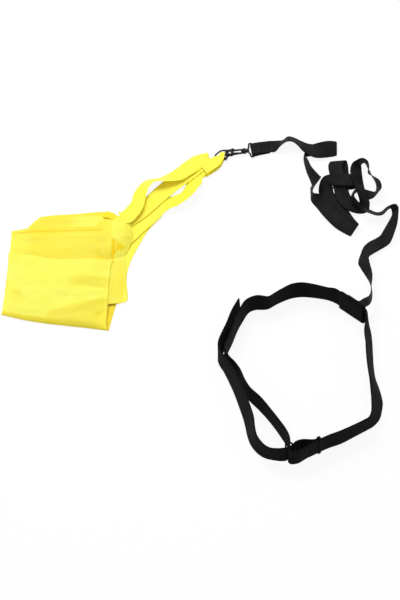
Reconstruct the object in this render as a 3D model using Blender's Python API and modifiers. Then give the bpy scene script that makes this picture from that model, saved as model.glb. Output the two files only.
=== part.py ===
"""Swim parachute: folded canopy with four straps, snap hook with swivel, long tether, waist belt."""

import math

import bmesh
import bpy
import numpy as np
from mathutils import Matrix, Vector

for old in list(bpy.data.objects):
    bpy.data.objects.remove(old, do_unlink=True)

MM = 0.001

# Driving sizes, in millimetres
GAP = 0.3
TETHER_W, TETHER_T = 25.0, 1.5
BELT_W, BELT_T = 39.0, 3.0
STRAP_W, STRAP_T = 30.0, 1.4
LOOP_T = 1.2

HOOK_ANGLE = 9.0
HOOK_AT = (101.3, 334.9, 5.2)
PIVOT_P, PIVOT_Q = 37.0, -2.6
BOW_R = 1.4
PIN_R = 1.1
EYE_R = 1.5
EYE_BAR_P = -3.6
COLLAR_R = 5.0
STEM_R = 2.0
MOUTH_P = PIVOT_P + 7.4
CROSS_Q, CROSS_W = 1.9, 7.8
CROSS_P = MOUTH_P + 1.0 + CROSS_W / 2
LOOP_TOP_Z, LOOP_LOW_Z = 9.1, 0.8

RING_L, RING_R = (158.8, -330.5), (173.2, -340.3)
RING_R0 = 1.6
RING_LIFT = 2 * RING_R0 + GAP
SLEEVE_AT = (273.5, -23.0)
SLEEVE_ANGLE = -40.7
SLEEVE_L, SLEEVE_WALL = 53.0, 1.2
SLEEVE_IN, SLEEVE_OUT = -3.6, 1.8
SLEEVE_LIFT = SLEEVE_WALL + GAP

parts = bpy.data.collections.new("swim_parachute")
bpy.context.scene.collection.children.link(parts)
cutters = bpy.data.collections.new("cutters")
bpy.context.scene.collection.children.link(cutters)


def material(name, colour, rough, metal=0.0):
    made = bpy.data.materials.new(name)
    made.use_nodes = True
    node = made.node_tree.nodes["Principled BSDF"]
    node.inputs["Base Color"].default_value = (*colour, 1.0)
    node.inputs["Roughness"].default_value = rough
    node.inputs["Metallic"].default_value = metal
    return made


def mesh_object(name, points, faces, look, pivot=(0.0, 0.0, 0.0), home=None):
    """One object from points in millimetres, with its origin at the pivot."""
    data = bpy.data.meshes.new(name)
    at = np.array(pivot, float)
    data.from_pydata([tuple((np.array(p, float) - at) * MM) for p in points], [], faces)
    data.update()
    shaped = bmesh.new()
    shaped.from_mesh(data)
    bmesh.ops.recalc_face_normals(shaped, faces=shaped.faces)
    shaped.to_mesh(data)
    shaped.free()
    made = bpy.data.objects.new(name, data)
    made.location = at * MM
    (home or parts).objects.link(made)
    if look:
        data.materials.append(look)
    return made


def cutter(name, points, faces):
    made = mesh_object(name, points, faces, None, home=cutters)
    made.hide_render = True
    made.display_type = "WIRE"
    return made


def boolean(target, tool, kind):
    step = target.modifiers.new(tool.name, "BOOLEAN")
    step.operation = kind
    step.solver = "EXACT"
    step.object = tool


def smooth_path(values, steps):
    """Catmull-Rom curve through the values."""
    v = [np.array(x, float) for x in values]
    v = [2 * v[0] - v[1]] + v + [2 * v[-1] - v[-2]]
    out = []
    for i in range(1, len(v) - 2):
        for k in range(steps):
            t = k / steps
            a, b, c, d = v[i - 1], v[i], v[i + 1], v[i + 2]
            out.append(
                0.5 * (2 * b + (c - a) * t + (2 * a - 5 * b + 4 * c - d) * t * t
                       + (3 * b - a - 3 * c + d) * t**3)
            )
    out.append(v[-2])
    return out


def direction(azimuth, tilt):
    a, t = math.radians(azimuth), math.radians(tilt)
    return np.array([math.cos(a) * math.cos(t), math.sin(a) * math.cos(t), math.sin(t)])


def strip_edges(rows, width, steps):
    """Two edges of a strap. A row is centre x, y, z, width azimuth, width tilt and perhaps width."""
    centres = smooth_path([r[:3] for r in rows], steps)
    across = smooth_path([direction(r[3], r[4]) for r in rows], steps)
    widths = smooth_path([[r[5] if len(r) > 5 else width] for r in rows], steps)
    out = []
    for c, w, size in zip(centres, across, widths):
        w = w / np.linalg.norm(w)
        out.append((c + w * size[0] / 2, c - w * size[0] / 2))
    return out


def strip_solid(edges, thick, across=2):
    """Points and faces of a closed strap of even thickness between two edges."""
    a = np.array([e[0] for e in edges])
    b = np.array([e[1] for e in edges])
    along = np.gradient((a + b) / 2, axis=0)
    normal = np.cross(along, a - b)
    normal /= np.linalg.norm(normal, axis=1)[:, None]
    points, faces = [], []
    ring = 2 * (across + 1)
    for p, q, n in zip(a, b, normal):
        line = [p + (q - p) * k / across for k in range(across + 1)]
        points += [x + n * thick / 2 for x in line]
        points += [x - n * thick / 2 for x in reversed(line)]
    for s in range(len(edges) - 1):
        for k in range(ring):
            m = (k + 1) % ring
            faces.append((s * ring + k, s * ring + m, (s + 1) * ring + m, (s + 1) * ring + k))
    for base, turn in ((0, 1), ((len(edges) - 1) * ring, -1)):
        for k in range(across):
            face = (base + k, base + k + 1, base + ring - 2 - k, base + ring - 1 - k)
            faces.append(face[::turn])
    return points, faces


def strap(name, rows, width, thick, look, steps=3, pivot=(0.0, 0.0, 0.0)):
    points, faces = strip_solid(strip_edges(rows, width, steps), thick)
    return mesh_object(name, points, faces, look, pivot)


def standing_edges(rows, width, steps):
    """Edges of a belt standing on its edge. A row is base x, y, lean x, y of the top, base height."""
    floor = [0.1 + BELT_T / 2 * math.hypot(r[2], r[3]) / width for r in rows]
    base = smooth_path([(r[0], r[1], max(r[4], f)) for r, f in zip(rows, floor)], steps)
    lean = smooth_path([(r[2], r[3]) for r in rows], steps)
    out = []
    for b, o in zip(base, lean):
        rise = math.sqrt(width**2 - o[0] ** 2 - o[1] ** 2)
        out.append((b + np.array([o[0], o[1], rise]), b))
    return out


def prism(outline, low, high):
    n = len(outline)
    points = [(x, y, low) for x, y in outline] + [(x, y, high) for x, y in outline]
    faces = [tuple(reversed(range(n))), tuple(range(n, 2 * n))]
    faces += [(k, (k + 1) % n, n + (k + 1) % n, n + k) for k in range(n)]
    return points, faces


def tube(path, radius, sides=10, closed=False):
    """A round bar along points; the radius is a number or one for each point."""
    path = np.array(path, float)
    n = len(path)
    sizes = [radius] * n if isinstance(radius, (int, float)) else list(radius)
    if closed:
        along = np.roll(path, -1, axis=0) - np.roll(path, 1, axis=0)
    else:
        along = np.gradient(path, axis=0)
    along /= np.linalg.norm(along, axis=1)[:, None]
    side = np.cross(along[0], (0.0, 0.0, 1.0))
    if np.linalg.norm(side) < 0.1:
        side = np.cross(along[0], (0.0, 1.0, 0.0))
    points, faces = [], []
    for k in range(n):
        side = side - along[k] * np.dot(side, along[k])
        side /= np.linalg.norm(side)
        other = np.cross(along[k], side)
        for s in range(sides):
            turn = 2 * math.pi * (s + 0.5) / sides
            points.append(path[k] + sizes[k] * (side * math.cos(turn) + other * math.sin(turn)))
    for k in range(n if closed else n - 1):
        m = (k + 1) % n
        for s in range(sides):
            t = (s + 1) % sides
            faces.append((k * sides + s, k * sides + t, m * sides + t, m * sides + s))
    if not closed:
        faces.append(tuple(reversed(range(sides))))
        faces.append(tuple(range((n - 1) * sides, n * sides)))
    return points, faces


def crease(x, y, lines):
    """Height added by ridges and furrows, each a segment with its height and half width."""
    total = 0.0
    for x1, y1, x2, y2, high, wide in lines:
        dx, dy = x2 - x1, y2 - y1
        t = ((x - x1) * dx + (y - y1) * dy) / (dx * dx + dy * dy)
        t = min(max(t, 0.0), 1.0)
        away = math.hypot(x - x1 - t * dx, y - y1 - t * dy)
        total += high * math.exp(-((away / wide) ** 2))
    return total


def pillow(outline, middle, edge_z, top_z, base, rings, around, lines=()):
    """A soft folded panel: rounded rim, gently raised middle, flat underside."""
    ends = [np.array(p, float) for p in outline]
    closed = ends + [ends[0]]
    lengths = [float(np.linalg.norm(b - a)) for a, b in zip(closed, closed[1:])]
    whole = sum(lengths)
    rim = []
    for a, b, size in zip(closed, closed[1:], lengths):
        count = max(1, round(around * size / whole))
        rim += [a + (b - a) * k / count for k in range(count)]
    centre = np.array(middle, float)
    n = len(rim)
    points, faces = [], []
    shares = [1.0 - (1.0 - k / rings) ** 1.6 for k in range(rings)]
    for side in (1, -1):
        for k in range(rings):
            share = 1.0 - shares[k]
            for p in rim:
                x, y = centre + (p - centre) * (share if k else 1.0)
                low = base(x, y)
                if side < 0:
                    points.append((x, y, low))
                else:
                    rise = edge_z + (top_z - edge_z) * math.sqrt(max(0.0, 1.0 - share**3))
                    fold = crease(x, y, lines) * min(1.0, 2.5 * (1.0 - share))
                    points.append((x, y, max(low + 1.5, rise + fold)))
    for side in (0, 1):
        start = side * rings * n
        for k in range(rings - 1):
            for s in range(n):
                t = (s + 1) % n
                a, b = start + k * n + s, start + k * n + t
                face = (a, b, b + n, a + n)
                faces.append(face if side == 0 else face[::-1])
        tip = len(points)
        low = base(*centre)
        high = top_z + crease(*centre, lines)
        points.append((*centre, high if side == 0 else low))
        for s in range(n):
            last = start + (rings - 1) * n
            face = (last + s, last + (s + 1) % n, tip)
            faces.append(face if side == 0 else face[::-1])
    for s in range(n):
        t = (s + 1) % n
        faces.append((s, rings * n + s, rings * n + t, t))
    return points, faces


def hook_xyz(p, q, z=None):
    """Hook frame to world: p from the swivel towards the claw tip, q towards the bow."""
    a = math.radians(HOOK_ANGLE)
    x = HOOK_AT[0] - p * math.cos(a) - q * math.sin(a)
    y = HOOK_AT[1] - p * math.sin(a) + q * math.cos(a)
    return (x, y, HOOK_AT[2] if z is None else z)


def to_hook(points):
    return [hook_xyz(p, q, z) for p, q, z in points]


def bar(p1, p2, q1, q2, z1, z2):
    return prism([(p1, q1), (p2, q1), (p2, q2), (p1, q2)], z1, z2)


def bar_x(start, end, q, z, radius, sides=16):
    """Cylinder along p, about the hook axis."""
    return tube([(start, q, z), (end, q, z)], radius, sides)


yellow = material("yellow_nylon", (0.95, 0.86, 0.06), 0.6)
yellow_web = material("yellow_webbing", (0.94, 0.84, 0.05), 0.65)
black_web = material("black_webbing", (0.02, 0.02, 0.022), 0.7)
black_belt = material("black_belt_webbing", (0.018, 0.018, 0.02), 0.8)
black_gloss = material("gloss_black_plastic", (0.012, 0.012, 0.014), 0.2)
steel = material("spring_steel", (0.55, 0.55, 0.56), 0.3, 1.0)

swing_axis = hook_xyz(CROSS_P, CROSS_Q, 0.0)

# Four canopy straps, gathered in a stack just before the hook
STRAPS = {
    1: [(-121, 181, 12, 109, -4), (-112, 181, 12, 122, -6), (-103, 191, 12.3, 127, -8),
        (-93, 209, 11.8, 134, -18), (-89, 229, 10.5, 141, -26), (-83, 247, 11, 134, -36),
        (-74, 257, 13, 113, -35), (-65, 261, 14, 93, -41), (-55, 263, 14, 93, -42),
        (-42, 267, 13, 97, -29), (-22, 276, 11.5, 111, -10), (-7, 290, 10.3, 119, -4),
        (4, 300, 8.7, 119, 0), (12, 307, 7.6, 112, 0), (31, 313, 7.5, 103, 0)],
    2: [(-116, 172, 7.8, 112, 2), (-106, 181, 7.8, 122, 2), (-88, 197, 7.8, 127, 2),
        (-69, 217, 8, 125, 2), (-51, 238, 8, 129, 2), (-31, 259, 8, 129, 1),
        (-11, 277, 7.8, 125, 0), (5, 293, 6.6, 123, 0), (15, 302, 5.9, 112, 0),
        (31, 309, 5.8, 103, 0)],
    3: [(-116, 137, 5.6, 130, 2), (-106, 148, 5.4, 129, 2), (-86, 172, 5, 129, 2),
        (-67, 192, 5.2, 125, -2), (-53, 208, 6, 116, -8), (-40, 216, 7.3, 106, -14),
        (-27, 221, 8.5, 106, -18), (-13, 229, 11, 117, -28), (-4, 240, 12, 134, -30),
        (2, 255, 9.6, 135, -24), (7, 269, 5.9, 131, -8), (13, 285.8, 4.6, 120, -2, STRAP_W - 4),
        (23.4, 297, 4.1, 107, 0, STRAP_W - 4), (30.7, 302, 4.1, 100, 0, STRAP_W - 4)],
    4: [(-122.5, 41, 1.8, 166, -2, STRAP_W - 8), (-117.5, 76, 2.2, 160, -3, STRAP_W - 11),
        (-108.6, 104, 2.2, 150, -4, STRAP_W - 12), (-97.6, 130.5, 2.2, 154, -4, STRAP_W - 12),
        (-85.6, 159, 2, 157, -3, STRAP_W - 10), (-71.5, 182.5, 1.8, 144, -2, STRAP_W - 8),
        (-57.7, 202.5, 1.7, 125, -1, STRAP_W - 6), (-54.5, 220, 1.7, 135, -1, STRAP_W - 7),
        (-48.2, 240.7, 1.7, 133, 0, STRAP_W - 9), (-30.4, 261.5, 1.8, 128, 0, STRAP_W - 6),
        (-12.9, 279, 1.9, 122, 0, STRAP_W - 4), (3, 283, 2.1, 117, 0, STRAP_W - 2), (17, 292, 2.3, 108, 0),
        (30, 298, 2.4, 100, 0)],
}
for number, rows in STRAPS.items():
    strap(f"canopy_strap_{number}", rows, STRAP_W, STRAP_T, yellow_web, 2, swing_axis)

# Sewn end loop: above the gate, down through the claw, back beneath the gate
middle_z = (LOOP_TOP_Z + LOOP_LOW_Z) / 2
bend = (LOOP_TOP_Z - LOOP_LOW_Z) / 2
turn = []
for step in range(7):
    angle = math.radians(90 - 30 * step)
    q = CROSS_Q - bend + bend * math.cos(angle)
    turn.append((*hook_xyz(CROSS_P, q, middle_z + bend * math.sin(angle)), 180 + HOOK_ANGLE, 0, CROSS_W))
lead = [(20.3, 289.9, 118, STRAP_W - 6), (29.4, 297.5, 121, STRAP_W - 6.5), (40, 306, 130, STRAP_W - 8),
        (46.8, 314, 150, CROSS_W + 7.7), (51, 320, 174, CROSS_W + 2.6)]
loop_rows = [(x, y, LOOP_TOP_Z, a, 0, w) for x, y, a, w in lead] + turn
loop_rows += [(x, y, LOOP_LOW_Z, a, 0, w) for x, y, a, w in reversed(lead)]
strap("end_loop", loop_rows, STRAP_W, LOOP_T, yellow_web, 2, swing_axis)

# Canopy, folded into a packet
def low_under(x, y):
    return 0.4 + 3.0 * min(max((x + 172) / 26, 0.0), 1.0)


front = pillow(
    [(-310, 102), (-271, 92), (-222, 88), (-135, 87), (-139, 47), (-142, -8), (-144, -58),
     (-247, -43), (-323, -24), (-318, 40)],
    (-228, 22), 5.0, 14.0, lambda x, y: 0.0, 9, 52,
    [(-205, 46, -145, 30, -2.2, 9), (-310, 96, -150, 82, 1.6, 7), (-300, -14, -160, -44, -2.6, 9),
     (-235, 10, -180, 40, 1.4, 12), (-300, 20, -240, -5, 1.2, 14)],
)
canopy = mesh_object("canopy", *front, yellow, swing_axis)
back = pillow(
    [(-306, 160), (-281, 164.5), (-257, 189), (-202, 194), (-147, 197.5), (-128, 185), (-117, 141),
     (-113, 108), (-110, 3), (-144, -3), (-230, 30), (-312, 60)],
    (-205, 108), 6.0, 13.0, low_under, 7, 46,
    [(-279, 163, -140, 156, 1.8, 7), (-265, 176, -140, 174, -1.6, 6), (-300, 130, -150, 110, 1.5, 14),
     (-160, 150, -120, 120, 1.2, 6)],
)
boolean(canopy, cutter("back_panel", *back), "UNION")
corner = pillow(
    [(-144, 200), (-127, 198), (-114, 186), (-104, 163), (-99, 132), (-101, 110), (-113, 100),
     (-134, 108), (-142, 150)],
    (-121, 148), 7.0, 15.5, low_under, 5, 34,
    [(-140, 120, -104, 150, 1.6, 4), (-138, 140, -106, 165, -1.4, 4), (-130, 110, -102, 128, 1.4, 3)],
)
boolean(canopy, cutter("gathered_corner", *corner), "UNION")
under = prism([(-146, -4), (-128, -3), (-139, -59), (-147, -60)], 0.8, 4.2)
boolean(canopy, cutter("lower_panel", *under), "UNION")
patch = prism([(-143, 205), (-127, 203), (-124, 192), (-140, 194)], 6.0, 15.0)
boolean(canopy, cutter("sewn_corner", *patch), "UNION")
for number in (1, 2, 3):
    wide = strip_edges(STRAPS[number][:4], STRAP_W + 2 * GAP + 0.4, 2)
    first = tuple(a - (b - a) * 0.2 for a, b in zip(wide[0], wide[1]))
    boolean(canopy, cutter(f"slot_{number}", *strip_solid([first] + wide, STRAP_T + 2 * GAP)), "DIFFERENCE")

# Snap hook body: two rails, head for the gate, thumb rest, bow, collar
HOOK_LOW, HOOK_HIGH = 2.3, 8.1
SLOT_LOW, SLOT_HIGH = 3.2, 7.2


def past_pivot(points):
    """Hook frame points whose first number is counted from the gate's pivot."""
    return [(PIVOT_P + p, q) for p, q in points]


rails = [(12, 3.9), (20, 4.3)] + past_pivot([(-5, 5.0), (-4, 5.0), (-4, -5.2), (-5, -5.2)])
rails += [(20, -4.4), (12, -3.9)]
rail_points, rail_faces = prism(rails, 3.4, 7.0)
body = mesh_object("hook_body", to_hook(rail_points), rail_faces, black_gloss, HOOK_AT)
head = past_pivot([(-6, 5.0), (-4, 5.4), (7.4, 5.6), (7.4, -3.6), (5.6, -4.9), (3, -5.5), (-3, -5.5),
                   (-6, -5.1)])
head_points, head_faces = prism(head, HOOK_LOW, HOOK_HIGH)
boolean(body, cutter("head", to_hook(head_points), head_faces), "UNION")
bow_path = smooth_path(past_pivot(
    [(-4, 4.9), (2, 5.9), (8.7, 6.8), (13.9, 6.5), (16.6, 5.1), (19.9, 2.8), (23.2, 0), (25.2, -2.4),
     (24.8, -4.2), (23, -4.8), (21.4, -4.5)]), 2)
bow_sizes = [BOW_R] * (len(bow_path) - 3) + [BOW_R * 0.95, BOW_R * 0.9, BOW_R * 0.75]
bow_points, bow_faces = tube([(p, q, HOOK_AT[2]) for p, q in bow_path], bow_sizes, 12)
boolean(body, cutter("bow", to_hook(bow_points), bow_faces), "UNION")
knob = past_pivot([(-9.4, 4.4), (-8.6, 6.6), (-7.4, 7.2), (-4.8, 7.2), (-3.6, 6.4), (-3.4, 4.8)])
knob_points, knob_faces = prism(knob, 2.9, 7.6)
boolean(body, cutter("knob", to_hook(knob_points), knob_faces), "UNION")
collar_points, collar_faces = tube(
    [(8.5, 0, HOOK_AT[2]), (9.2, 0, HOOK_AT[2]), (13, 0, HOOK_AT[2]), (15.5, 0, HOOK_AT[2])],
    [4.4, COLLAR_R, COLLAR_R, 3.9], 20)
boolean(body, cutter("collar", to_hook(collar_points), collar_faces), "UNION")
window = [(15.2, 3.1), (18.4, 3.1), *past_pivot([(-6.8, 3.2), (-6.8, -1.4)]), (18.4, -3.1), (15.2, -3.1)]
window_points, window_faces = prism(window, -2.0, 12.5)
boolean(body, cutter("window", to_hook(window_points), window_faces), "DIFFERENCE")
bore_points, bore_faces = bar_x(6, 16.5, 0.0, HOOK_AT[2], STEM_R + GAP + 0.1)
boolean(body, cutter("swivel_bore", to_hook(bore_points), bore_faces), "DIFFERENCE")
slot_points, slot_faces = bar(PIVOT_P - 4.6, MOUTH_P + 1.6, -10, 0.9, SLOT_LOW, SLOT_HIGH)
boolean(body, cutter("gate_slot", to_hook(slot_points), slot_faces), "DIFFERENCE")
pin_hole = tube([(PIVOT_P, PIVOT_Q, 0), (PIVOT_P, PIVOT_Q, 12)], PIN_R + 0.1, 16)
boolean(body, cutter("pin_hole", to_hook(pin_hole[0]), pin_hole[1]), "DIFFERENCE")

# Gate: knuckle on the pin, arm to the claw tip, thumb tab
gate_axis = hook_xyz(PIVOT_P, PIVOT_Q)
knuckle = tube([(PIVOT_P, PIVOT_Q, SLOT_LOW + GAP), (PIVOT_P, PIVOT_Q, SLOT_LOW + GAP + 1.6)], 2.6, 18)
gate = mesh_object("hook_gate", to_hook(knuckle[0]), knuckle[1], black_gloss, gate_axis)
link_z = SLOT_LOW + GAP
link = bar(PIVOT_P + 1.6, MOUTH_P + 0.6, PIVOT_Q - 1.8, PIVOT_Q + 0.7, link_z + 0.01, link_z + 1.59)
boolean(gate, cutter("gate_link", to_hook(link[0]), link[1]), "UNION")
arm = prism(past_pivot([(6.4, -4.5), (19.2, -4.7), (19.5, -3.1), (18.8, -2.3), (6.4, -2.3)]), 3.8, 6.6)
boolean(gate, cutter("gate_arm", to_hook(arm[0]), arm[1]), "UNION")
root = prism(past_pivot([(-0.6, -4.4), (2.2, -3.2), (7.2, -7.6), (5, -9.6)]), link_z + 0.02,
             link_z + 1.58)
boolean(gate, cutter("thumb_root", to_hook(root[0]), root[1]), "UNION")
tab = prism(past_pivot([(3.2, -7.8), (5.6, -5.9), (10.6, -11), (11.4, -13.2), (9.6, -14.6), (7.4, -13.8)]),
            3.6, 6.8)
boolean(gate, cutter("thumb_tab", to_hook(tab[0]), tab[1]), "UNION")
bore = tube([(PIVOT_P, PIVOT_Q, 0), (PIVOT_P, PIVOT_Q, 12)], PIN_R + GAP, 16)
boolean(gate, cutter("gate_bore", to_hook(bore[0]), bore[1]), "DIFFERENCE")

# Gate pin, headed at both ends, and its coiled spring
head_z = 0.5
pin_line = [(PIVOT_P, PIVOT_Q, HOOK_LOW - GAP - head_z), (PIVOT_P, PIVOT_Q, HOOK_LOW - GAP),
            (PIVOT_P, PIVOT_Q, HOOK_LOW - GAP + 0.02), (PIVOT_P, PIVOT_Q, HOOK_HIGH + GAP - 0.02),
            (PIVOT_P, PIVOT_Q, HOOK_HIGH + GAP), (PIVOT_P, PIVOT_Q, HOOK_HIGH + GAP + head_z)]
pin = tube(pin_line, [1.9, 2.0, PIN_R - 0.1, PIN_R - 0.1, 2.0, 1.9], 16)
mesh_object("gate_pin", to_hook(pin[0]), pin[1], steel, gate_axis)
coil = []
for step in range(31):
    angle = 2 * math.pi * 2.5 * step / 30 + math.pi / 2
    coil.append((PIVOT_P + 2.0 * math.cos(angle), PIVOT_Q + 2.0 * math.sin(angle), 5.5 + 1.3 * step / 30))
coil = [(PIVOT_P + 4.9, PIVOT_Q + 2.0, 5.5)] + coil + [(PIVOT_P - 3.4, PIVOT_Q - 2.0, 6.8)]
spring = tube(coil, 0.22, 6)
wire = mesh_object("gate_spring", to_hook(spring[0]), spring[1], steel, gate_axis)
wire.modifiers.new("flat_faces", "TRIANGULATE")

# Swivel eye: ring for the webbing, stem through the collar, head in the window
eye_side = [(EYE_BAR_P, 12.6), (-2.8, 14.6), (-0.8, 14.8), (1.4, 14.0), (2.0, 12), (2.2, 8), (3.4, 5.6),
            (4.2, 2.5)]
eye_path = [(EYE_BAR_P, -6), (EYE_BAR_P, 6)] + eye_side + [(p, -q) for p, q in reversed(eye_side)]
eye_axis = hook_xyz(EYE_BAR_P, 0)
ring = tube([(p, q, HOOK_AT[2]) for p, q in eye_path], EYE_R, 10, closed=True)
eye = mesh_object("swivel_eye", to_hook(ring[0]), ring[1], black_gloss, eye_axis)
stem_path = [(3.2, 2.6), (4.6, 4.0), (7.9, 3.8), (7.91, STEM_R), (15.49, STEM_R), (15.5, 2.75), (17.1, 2.6)]
stem = tube([(p, 0, HOOK_AT[2]) for p, _ in stem_path], [r for _, r in stem_path], 16)
boolean(eye, cutter("swivel_stem", to_hook(stem[0]), stem[1]), "UNION")

# Tether: sewn fold round the eye bar, the long webbing, and its end sewn to the belt sleeve
wrap = EYE_R + GAP + TETHER_T / 2 + 0.15
bar_at = hook_xyz(EYE_BAR_P, 0)
along = direction(HOOK_ANGLE, 0)
fold = [(134, 344.3, 3.6, 92, 0), (124, 341.6, 5.0, 95, 0), (114, 338.4, 6.9, 98, 0)]
for step in range(7):
    angle = math.radians(90 + 30 * step)
    spot = np.array(bar_at) + along * wrap * math.cos(angle) + np.array((0, 0, wrap * math.sin(angle)))
    fold.append((*spot, 90 + HOOK_ANGLE, 0))
fold += [(114, 338.4, 2.4, 98, 0), (124, 341.6, 1.6, 95, 0), (134, 344.3, 1.2, 92, 0)]
strap("tether_hook_loop", fold, TETHER_W, TETHER_T, black_web, 2)

TETHER = [
    (134.4, 344.4, 3.6, 92, 0), (143, 345, 3.8, 90, -3), (154, 348, 9, 81, -28),
    (164, 353, 13.5, 84, -30), (175, 351, 13.5, 83, -34), (185, 344, 12, 82, -27),
    (196, 336, 10.5, 70, -14), (214, 329, 10, 78, 15), (234, 331, 10, 90, 26), (248, 337, 7, 90, 19),
    (234, 344, 3, 90, 6), (214, 339, 3.2, 84, 8), (197, 332, 4, 76, -1), (195, 314, 9.4, 111, -43),
    (200, 290, 11.6, 132, -56), (210, 270, 10.6, 162, -48), (213, 261, 11.4, -169, -51),
    (206, 247, 11.5, 112, -54), (205.5, 234, 11.9, 106, -56), (213, 224, 11.2, -178, -50),
    (223, 213, 9.5, -160, -40), (237, 192, 10, -146, -25), (253, 172, 9.5, -143, -26),
    (268, 161, 8.5, -137, -29), (278, 157, 7, -128, -26), (268, 175, 3.2, -141, -10),
    (253, 203, 3.2, -145, -9), (238, 224, 3, -154, -9), (230, 243, 2.2, -171, -4),
    (230, 256, 4.2, 164, -4), (232.8, 262.4, 9.4, 125, 2), (243, 262, 14, 106, 6),
    (262, 261, 15.5, 94, 5), (275, 260, 15.5, 90, 4), (284, 261, 12, 90, 0), (276, 259, 8, 81, 5),
    (262, 261, 6, 44, 12), (258, 279, 3.4, 31, 3), (257, 297, 3.6, 33, -8), (252, 309, 7.5, 12, -6),
    (246, 297, 10.8, 3, 2), (249, 275, 9.6, 12, 2), (254.4, 251, 8.8, 16, 1), (258, 232, 7.8, 20, 0),
    (265, 219, 8, 34, 0), (274, 210, 7.8, 60, 0), (285, 207, 6, 88, 2), (293, 210, 6, 122, 8),
    (294, 221, 12, 154, 27), (288, 238.5, 17.5, -158, 42), (284, 257, 16.5, -156, 38),
    (281, 276, 16.5, -162, 32), (282, 292, 16, -157, 45), (286, 300, 15, -136, 63),
    (293, 304, 15, -99, 71), (299, 301, 14, -73, 60), (302, 291, 12.5, -82, 52),
    (303, 281, 12, -100, 42), (309, 272, 12, -84, 50), (317, 262, 12, -61, 50), (320, 249, 11, -62, 44),
    (316, 238, 11, -76, 46), (309, 236, 6.2, -86, 24), (297, 239, 3.2, -87, 8), (284, 244, 9, -82, 34),
    (275, 225.2, 18, -75, 50), (278, 208.4, 19.8, -50, 58), (288, 197.2, 19.6, -54, 63),
    (303, 190, 17.5, -80, 63), (315, 188, 13, -92, 63), (325, 190, 12.5, -102, 63),
    (334, 200, 13, -92, 64), (343, 204, 14, -50, 64), (347, 198, 13.8, -38, 57),
    (347, 186, 13, -48, 50), (343, 170, 11.5, -40, 37), (337, 154, 9.5, -28, 28),
    (332, 142, 7.5, -31, 18), (325, 133, 6, -31, -1), (311, 123, 5.5, -45, -1), (301, 114, 5, -51, 11),
    (295, 101, 7.4, -51, 30), (293, 86, 8.8, -21, 38), (296, 74, 9.2, -27, 40),
    (301, 58, 10.4, -43, 48), (304, 44, 11, -67, 53), (305, 31, 12.7, -88, 53),
    (306, 16, 15.5, -100, 66), (305, 1, 20, -124, 82), (301, -11, 24, -130, 88),
    (292, -19, 26.6, -130, 90), (286, -24.4, 27.3, -130, 90), (282.5, -25, 27.5, -130, 90),
    (279.7, -22.9, 27.5, -130, 90),
]
strap("tether_webbing", TETHER, TETHER_W, TETHER_T, black_web, 2)


def sleeve_xyz(s, n, z):
    """Sleeve frame to world: s along the belt, n away from the wearer."""
    a = math.radians(SLEEVE_ANGLE)
    x, y = SLEEVE_AT
    return (x + s * math.cos(a) - n * math.sin(a), y + s * math.sin(a) + n * math.cos(a), z)


face_n = SLEEVE_OUT + SLEEVE_WALL
seat_n = face_n + GAP + TETHER_T / 2
SEWN_Z = 27.5
sleeve_axis = sleeve_xyz(0, 0, 0)
sewn = [(*sleeve_xyz(s, seat_n, SEWN_Z), 50, -90) for s in (4.0, -1.0, -7.0, -13.0)]
strap("tether_belt_end", sewn, TETHER_W, TETHER_T, black_web, 2, sleeve_axis)

# Slider sleeve round the belt
low_z, high_z = 0.0, SLEEVE_LIFT + BELT_W + GAP + SLEEVE_WALL
half = SLEEVE_L / 2
outer = [(-half, SLEEVE_IN - SLEEVE_WALL), (half, SLEEVE_IN - SLEEVE_WALL), (half, face_n), (-half, face_n)]
outer_points, faces = prism(outer, low_z, high_z)
sleeve = mesh_object("slider_sleeve", [sleeve_xyz(*p) for p in outer_points], faces, black_web, sleeve_axis)
rounding = sleeve.modifiers.new("rounding", "BEVEL")
rounding.width = 1.1 * MM
rounding.segments = 3
inner = [(-half - 5, SLEEVE_IN), (half + 5, SLEEVE_IN), (half + 5, SLEEVE_OUT), (-half - 5, SLEEVE_OUT)]
inner_points, faces = prism(inner, low_z + SLEEVE_WALL, high_z - SLEEVE_WALL)
boolean(sleeve, cutter("sleeve_hollow", [sleeve_xyz(*p) for p in inner_points], faces), "DIFFERENCE")

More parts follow.
